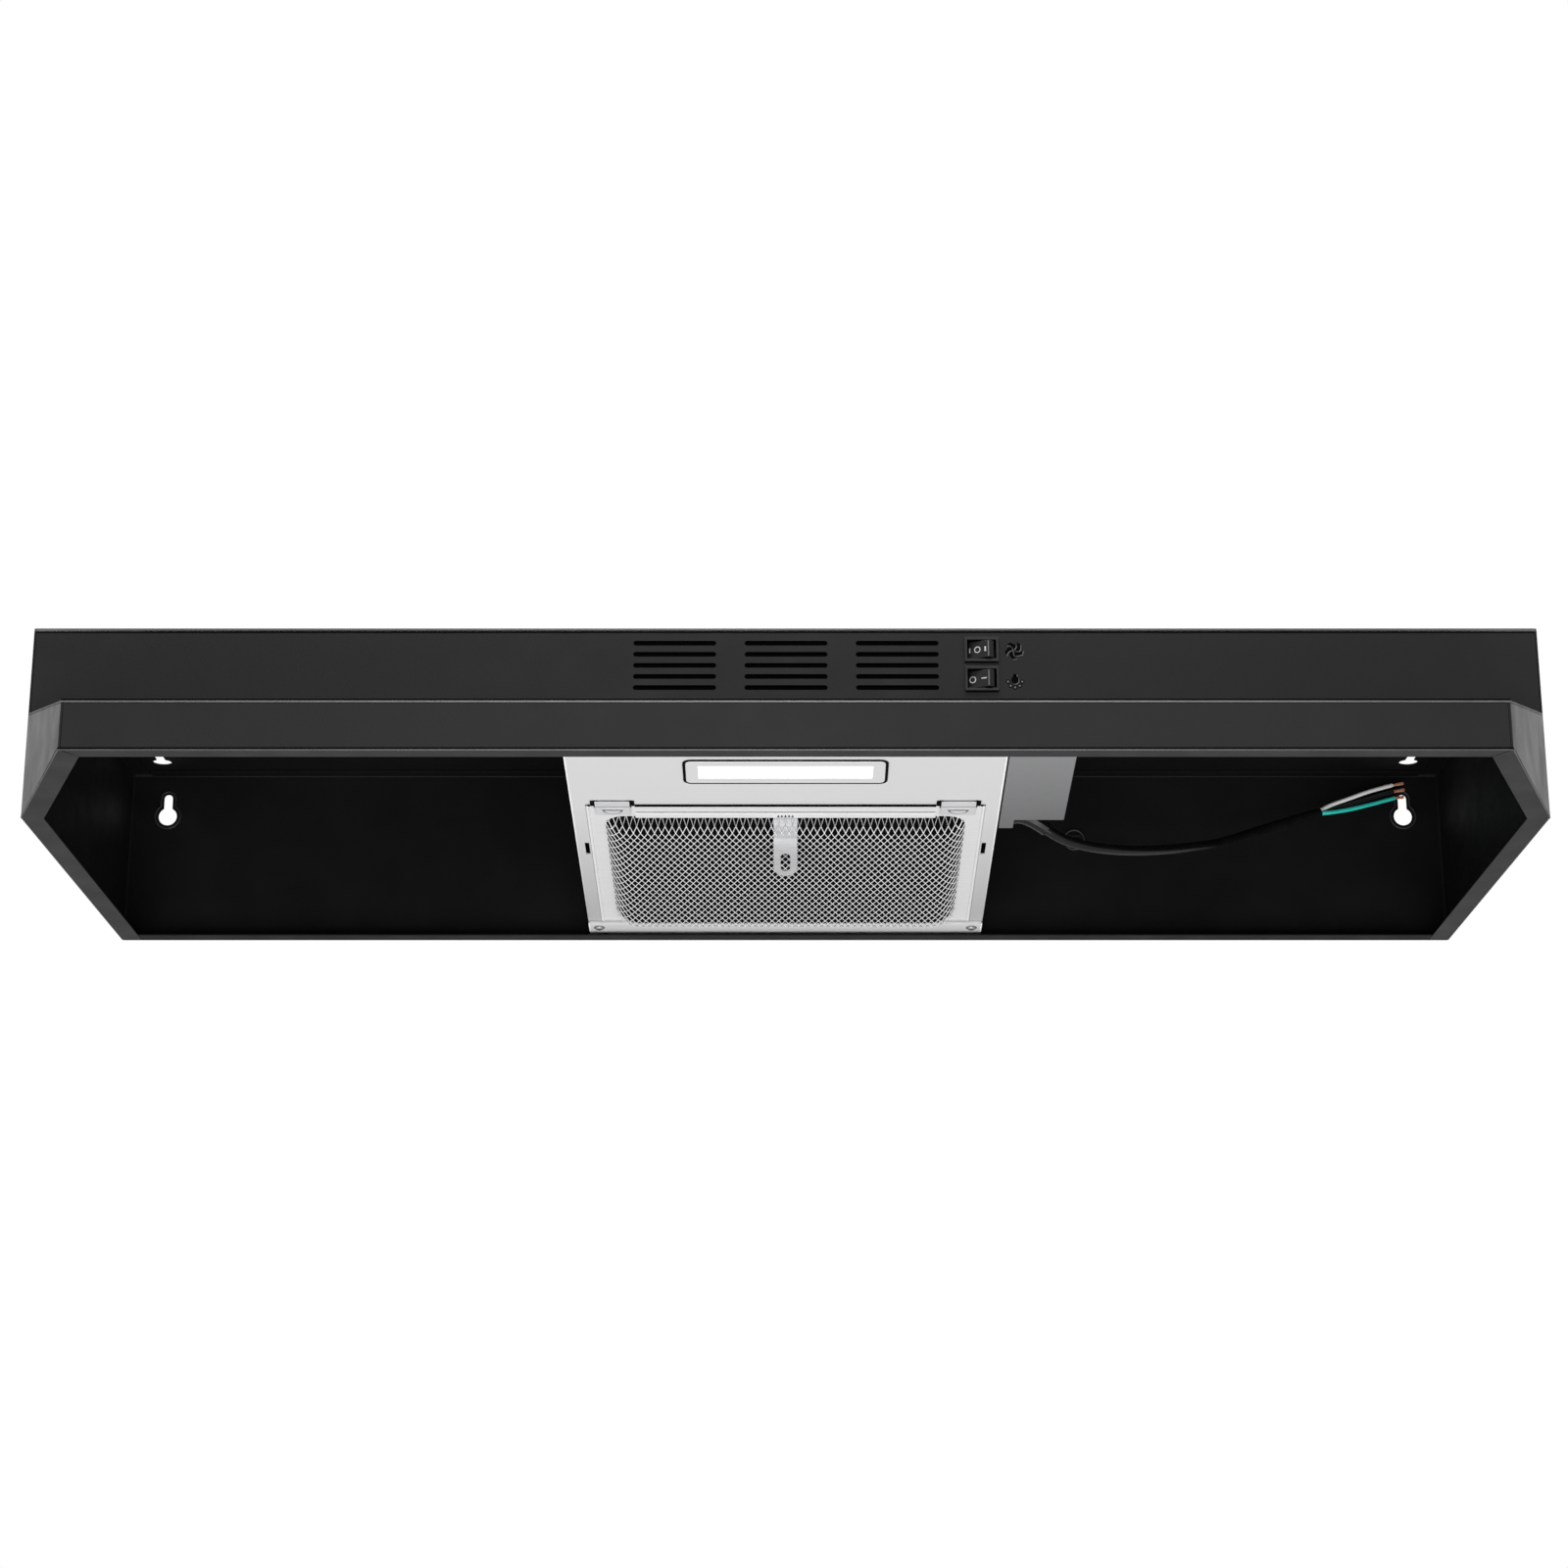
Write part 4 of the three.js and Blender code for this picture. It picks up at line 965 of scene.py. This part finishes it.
def make_liner():
    """A black felt sheet standing as painted shade for the filter layers that lie just inside the outer
    mesh; it follows the mesh's shape.
    """
    across = 56
    back = 44
    vertices = []
    faces = []
    for j in range(back + 1):
        for i in range(across + 1):
            u = PAN_U * (2 * i / across - 1)
            v = PAN_FRONT + (PAN_REAR - PAN_FRONT) * j / back
            vertices.append(on_slope(u, v, min(pan_height(u, v) + 2.8, 3.2)))
    for j in range(back):
        for i in range(across):
            a = j * (across + 1) + i
            faces.append((a, a + 1, a + across + 2, a + across + 1))
    liner = mesh_from("grease_filter_layers_shade", vertices, faces, smooth=True)
    solid = liner.modifiers.new("thickness", "SOLIDIFY")
    solid.thickness = 0.4 * MM
    solid.offset = 0.0
    finish_piece(liner, "filter", "felt_and_shade")


def slope_mark(name, outlines, w, thickness, body, material):
    """A thin raised shape on the underside of the panel, from outlines in its own frame."""
    def place(u, v, lift):
        return on_slope(u, v, w - lift) / MM
    return flat_mark(name, outlines, place, thickness, body, material)


def half_moon(u, v, a, b):
    angles = [math.pi * k / 16 for k in range(17)]
    return [(u + a * math.cos(t), v + b * math.sin(t)) for t in angles]


def make_latch_marks():
    # painted shade: a dark half-moon for the finger notch's shadow round a lighter floor, and a dark line
    # across each latch
    for side, name in ((-1, "left"), (1, "right")):
        u = side * LATCH_U
        body = f"latch_{name}"
        marks = [
            ("finger_notch", half_moon(u, 82.0, 6.4, 6.4), -2.11, "groove_and_shade"),
            ("finger_notch_floor", half_moon(u, 83.2, 5.0, 4.6), -2.17, "latch"),
            ("latch_shadow_line", bar(u, 79.2, 21.0, 0.55), -1.31, "groove_and_shade"),
        ]
        for mark, outline, w, material in marks:
            slope_mark(f"{mark}_{name}", [outline], w, 0.06, body, material)


def make_band_slits():
    """The row of small openings in the front band, where the pull tab passes behind it, drawn as black
    marks of painted shade.
    """
    slits = [[(u - 0.8, 96.4), (u, 92.4), (u + 0.8, 96.4)] for u in (-4.4, -2.2, 0.0, 2.2, 4.4)]
    slope_mark("front_band_slit_shade", slits, -0.81, 0.05, "filter", "felt_and_shade")


def make_screw_slots():
    """Painted shade for the cross recess, and a painted shadow ring, on each of the two screws in the
    ledge.
    """
    for side, name in ((-1, "left"), (1, "right")):
        u = side * LEDGE_SCREW_U
        ring = ring_outlines(u, LEDGE_SCREW_V, 3.7, 2.9, 28)
        slope_mark(f"ledge_screw_shadow_ring_{name}", ring, -1.31, 0.05, "hood", "groove_and_shade")
        cross = [bar(u, LEDGE_SCREW_V, 3.2, 0.8), bar(u, LEDGE_SCREW_V, 0.8, 3.2)]
        slope_mark(f"ledge_screw_cross_shade_{name}", cross, -2.91, 0.04, "hood", "groove_and_shade")


def make_frame_trim():
    """Raised edges of the frame, the folded front band of the mesh, and a black felt seal that is also
    painted shade for the gap in front of the frame.
    """
    seal_v = (78.5, 80.2)
    for side, name in ((-1, "left"), (1, "right")):
        u = sorted((side * 121.3, side * 122.95))
        slope_box(f"frame_edge_{name}", u, (80.3, 270.4), (-0.9, -0.02), "filter", "mesh",
                  0.3)
        u = sorted((side * 120.3, side * 121.8))
        # felt seal strips, also painted shade for the dark gap line
        slope_box(f"filter_seal_{name}", u, seal_v, (-0.7, 3.0), "filter", "felt_and_shade")
    slope_box("filter_seal_front", (-92.7, 92.7), seal_v, (-0.95, 3.0), "filter", "felt_and_shade")
    slope_box("front_band_groove", (-92.6, 92.6), (89.9, 90.5), (-0.1, -0.02), "filter", "groove_and_shade")
    slope_box("mesh_front_band", (-93.0, 93.0), (90.6, 97.6), (-0.8, -0.02), "filter", "mesh",
              0.3)


# ---- pull tab ------------------------------------------------------------------------

TAB_HALF = 7.4
TAB_HOLE_HALF = 3.05
TAB_HOLE_REACH = (-12.7, 2.9)
TAB_PATH = [
    (91.2, -0.3), (93.5, -0.3), (96.2, -0.3), (98.4, -0.4), (100.6, -2.0), (103.4, -4.4), (107.0, -6.6),
    (110.5, -8.6), (114.0, -11.6), (118.5, -14.4), (124.0, -16.9), (131.0, -19.6), (138.6, -22.4),
]


def tab_stations():
    """Distance along the tab, its half width, and half the width of its hole, front to rear."""
    path = catmull([(0, v, w) for v, w in TAB_PATH], 6)
    total = path_length(path)
    end = total - TAB_HALF
    hole = (end + TAB_HOLE_REACH[0], end + TAB_HOLE_REACH[1])
    along = set(np.linspace(0, end, 40))
    for k in range(13):
        reach = math.sin(math.pi / 2 * k / 12)
        along.add(end + TAB_HALF * reach)
        along.add(hole[0] + TAB_HOLE_HALF * (1 - reach))
        along.add(hole[1] - TAB_HOLE_HALF * (1 - reach))
    rows = []
    for s in sorted(along):
        half = TAB_HALF if s <= end else math.sqrt(max(TAB_HALF ** 2 - (s - end) ** 2, 0.0))
        into = min(s - hole[0], hole[1] - s)
        gap = 0.0
        if into > 0:
            gap = TAB_HOLE_HALF
            if into < TAB_HOLE_HALF:
                gap = math.sqrt(TAB_HOLE_HALF ** 2 - (TAB_HOLE_HALF - into) ** 2)
        rows.append((s, half, gap))
    return path, rows


def point_along(path, distance):
    run = 0.0
    for a, b in zip(path, path[1:]):
        step = float(np.linalg.norm(b - a))
        if run + step >= distance:
            return a + (b - a) * (distance - run) / step
        run += step
    return path[-1]


def make_pull_tab():
    """A strap that starts inside the front band, runs behind the mesh and comes out to hang below it."""
    path, rows = tab_stations()
    vertices = []
    faces = []
    for s, half, gap in rows:
        _, v, w = point_along(path, s)
        vertices += [on_slope(u, v, w) for u in (-half, -gap, gap, half)]
    for i in range(len(rows) - 1):
        a = 4 * i
        b = a + 4
        faces += [(a, a + 1, b + 1, b), (a + 2, a + 3, b + 3, b + 2)]
    piece = mesh_from("filter_pull_tab", vertices, faces, smooth=True)
    bm = bmesh.new()
    bm.from_mesh(piece.data)
    bmesh.ops.remove_doubles(bm, verts=bm.verts, dist=1e-6)
    bmesh.ops.recalc_face_normals(bm, faces=bm.faces)
    bm.to_mesh(piece.data)
    bm.free()
    solid = piece.modifiers.new("thickness", "SOLIDIFY")
    solid.thickness = 0.9 * MM
    solid.offset = 0.0
    bevel = piece.modifiers.new("round", "BEVEL")
    bevel.width = 0.22 * MM
    bevel.segments = 2
    bevel.limit_method = "ANGLE"
    bevel.harden_normals = True
    finish_piece(piece, "filter", "tab", ["pull_tab"])


make_filter()
make_pull_tab()
make_latch_marks()
make_band_slits()
make_screw_slots()


# ---- switches and symbols ------------------------------------------------------------

SWITCH_X = 117.2
PIVOT_Y = -80.8
FAN_Z = -13.6
LIGHT_Z = -32.0
FAN_ICON = (136.6, -13.9)
LIGHT_ICON = (136.9, -33.6)
ICON_HIGHLIGHT_SHIFT = 0.34


def rocker_face(z):
    """Places a 2-D point on the rocker's wide face: x along the face, y up, lift away from it."""
    start = np.array([-7.9, 0.6])
    end = np.array([4.2, -4.5])
    along = (end - start) / np.linalg.norm(end - start)
    out = np.array([along[1], -along[0]])
    middle = (start + end) / 2

    def place(x, y, lift):
        p = middle + along * x + out * (lift + 0.01)
        return (SWITCH_X + p[0], PIVOT_Y + p[1], z + y)
    return place


def fascia_place(cx, cz):
    """Places a 2-D point on the fascia, about the centre of a symbol."""
    def place(x, y, lift):
        return (cx + x, FASCIA_Y - 0.01 - lift, cz + y)
    return place


def make_switches():
    for kind, z in (("fan", FAN_Z), ("light", LIGHT_Z)):
        rounded_copy(f"{kind}_switch", f"{kind}_switch_body", "hood", "black", 0.35, 3)
        rounded_copy(f"{kind}_rocker", f"{kind}_switch_rocker", f"{kind}_rocker", "black_gloss", 0.45,
                     3)
    fan_marks = [bar(-5.5, 0, 0.75, 3.0), bar(4.3, 0, 0.95, 3.0)] + ring_outlines(-0.7, 0, 2.0, 1.45)
    flat_mark("fan_rocker_symbols", fan_marks, rocker_face(FAN_Z), 0.07, "fan_rocker", "print")
    light_marks = [bar(3.2, 0.1, 3.3, 0.7)] + ring_outlines(-3.9, -0.2, 2.1, 1.55)
    flat_mark("light_rocker_symbols", light_marks, rocker_face(LIGHT_Z), 0.07, "light_rocker", "print")
    # painted highlight: a light line along each rocker's ridge
    for kind, z in (("fan", FAN_Z), ("light", LIGHT_Z)):
        flat_mark(f"{kind}_rocker_ridge_highlight", [bar(6.3, 0, 0.6, 9.6)], rocker_face(z), 0.12, f"{kind}_rocker",
                  "glint")
    make_icons()


def teardrop(radius, turn):
    """One curved blade of the fan icon, wide at its tip."""
    points = []
    for k in range(9):
        t = k / 8
        a = turn + 0.95 * t
        points.append((radius * t * math.cos(a), radius * t * math.sin(a)))
    for k in range(9):
        t = 1 - k / 8
        a = turn + 0.05 + 0.9 * t - 1.05 * math.sin(math.pi * min(t, 0.82))
        points.append((radius * t * math.cos(a), radius * t * math.sin(a)))
    return points[1:-1]


def icon_mark(name, outlines, center, thickness, material):
    flat_mark(name, outlines, fascia_place(*center), thickness, "hood", material)


def sunk(name, outlines, center):
    """A symbol drawn flat as if sunk: a black mark for its floor, and a painted highlight offset to its
    lower right.
    """
    highlight_outlines = [[(x + ICON_HIGHLIGHT_SHIFT, y - ICON_HIGHLIGHT_SHIFT) for x, y in outline] for outline in outlines]
    icon_mark(name + "_edge", highlight_outlines, center, 0.05, "glint")
    icon_mark(name, outlines, center, 0.10, "felt_and_shade")


def bulb_dots(radius, sides):
    """The five dots on an arc below the bulb that stand for its rays."""
    dots = []
    for degrees in (195, 232, 270, 308, 345):
        t = math.radians(degrees)
        dots.append(ellipse(4.4 * math.cos(t), 1.3 + 4.9 * math.sin(t), radius, radius, sides))
    return dots


def make_icons():
    sunk("fan_icon", [teardrop(5.6, math.radians(20 + 72 * k)) for k in range(5)], FAN_ICON)
    sunk("light_icon", [ellipse(0, 1.1, 2.2, 2.5), bar(0, 3.9, 2.2, 1.9)], LIGHT_ICON)
    # the dots are black discs with cores in the painted-highlight grey
    icon_mark("light_icon_dots", bulb_dots(1.3, 14), LIGHT_ICON, 0.06, "felt_and_shade")
    icon_mark("light_icon_dot_cores", bulb_dots(0.6, 10), LIGHT_ICON, 0.10, "glint")


make_switches()


# ---- blower, wiring box and strain relief --------------------------------------------

def make_inside():
    rounded_copy("blower_housing", "blower_scroll", "hood", "zinc", 0.3)
    rounded_copy("inlet_ring", "blower_inlet", "hood", "zinc", 0.2)
    rounded_copy("impeller", "blower_wheel", "rotor", "zinc", 0.1, 1)
    rounded_copy("motor_shaft", "motor_spindle", "rotor", "screw", 0.2)
    rounded_copy("motor", "motor_can", "hood", "zinc", 0.4)
    rounded_copy("motor_bracket", "motor_spider", "hood", "zinc", 0.3)
    for i in (1, 2, 3):
        rounded_copy(f"bracket_nut_{i}", f"spider_nut_{i}", "hood", "screw", 0.3)
    rounded_copy("wiring_box", "wiring_box_walls", "hood", "wiring", 0.3)
    rounded_copy("wiring_cover", "wiring_box_cover", "hood", "wiring", 0.3)
    rounded_copy("cover_screw", "wiring_cover_screw", "hood", "screw", 0.2)
    rounded_copy("capacitor", "run_capacitor", "hood", "black", 0.8, 3)
    rounded_copy("terminal_block", "wire_terminals", "hood", "white", 0.4)
    rounded_copy("strain_relief", "lead_grommet", "hood", "sheath", 0.15)


make_inside()


# ---- floor, light and world ----------------------------------------------------------

def make_floor():
    half = 40.0
    level = -2.6
    corners = [(-half, -half, level), (half, -half, level), (half, half, level), (-half, half, level)]
    floor = mesh_from("floor", corners, [(0, 1, 2, 3)])
    s = Shader("pale_floor", (0.82, 0.82, 0.82), 0.8)
    s.vary_color(s.noise(3, 3), (0.80, 0.80, 0.80), (0.84, 0.84, 0.84))
    floor.data.materials.append(s.material)


def area_light(name, location, target, size_x, size_y, power):
    data = bpy.data.lights.new(name, "AREA")
    data.shape = "RECTANGLE"
    data.size = size_x
    data.size_y = size_y
    data.energy = power
    light = bpy.data.objects.new(name, data)
    light.location = location
    light.rotation_euler = (Vector(target) - Vector(location)).to_track_quat("-Z", "Y").to_euler()
    light.visible_camera = False
    scene.collection.objects.link(light)


def make_world():
    world = bpy.data.worlds.new("studio")
    scene.world = world
    world.use_nodes = True
    tree = world.node_tree
    background = tree.nodes["Background"]
    background.inputs["Color"].default_value = (0.42, 0.42, 0.42, 1)
    background.inputs["Strength"].default_value = 1.0
    seen = tree.nodes.new("ShaderNodeBackground")
    seen.inputs["Color"].default_value = (1.0, 1.0, 1.0, 1)
    path = tree.nodes.new("ShaderNodeLightPath")
    mix = tree.nodes.new("ShaderNodeMixShader")
    tree.links.new(path.outputs["Is Camera Ray"], mix.inputs["Fac"])
    tree.links.new(background.outputs["Background"], mix.inputs[1])
    tree.links.new(seen.outputs["Background"], mix.inputs[2])
    tree.links.new(mix.outputs["Shader"], tree.nodes["World Output"].inputs["Surface"])


make_floor()
make_world()
area_light("under_soft", (0.0, -1.0, -1.15), (0, 0.0, -0.1), 2.6, 1.2, 26.0)
area_light("front_soft", (0.0, -2.7, 0.75), (0, -0.1, -0.08), 1.1, 0.7, 3.5)
area_light("top_strip", (0.0, -0.75, 1.3), (0, -0.1, 0), 2.6, 0.3, 20.0)
for side in (-1, 1):
    area_light(f"rim_{side}", (side * 1.15, 1.15, 0.35), (side * 0.42, -0.15, -0.08), 0.8, 0.8, 0.9)

scene.view_settings.view_transform = "Standard"
scene.view_settings.look = "None"
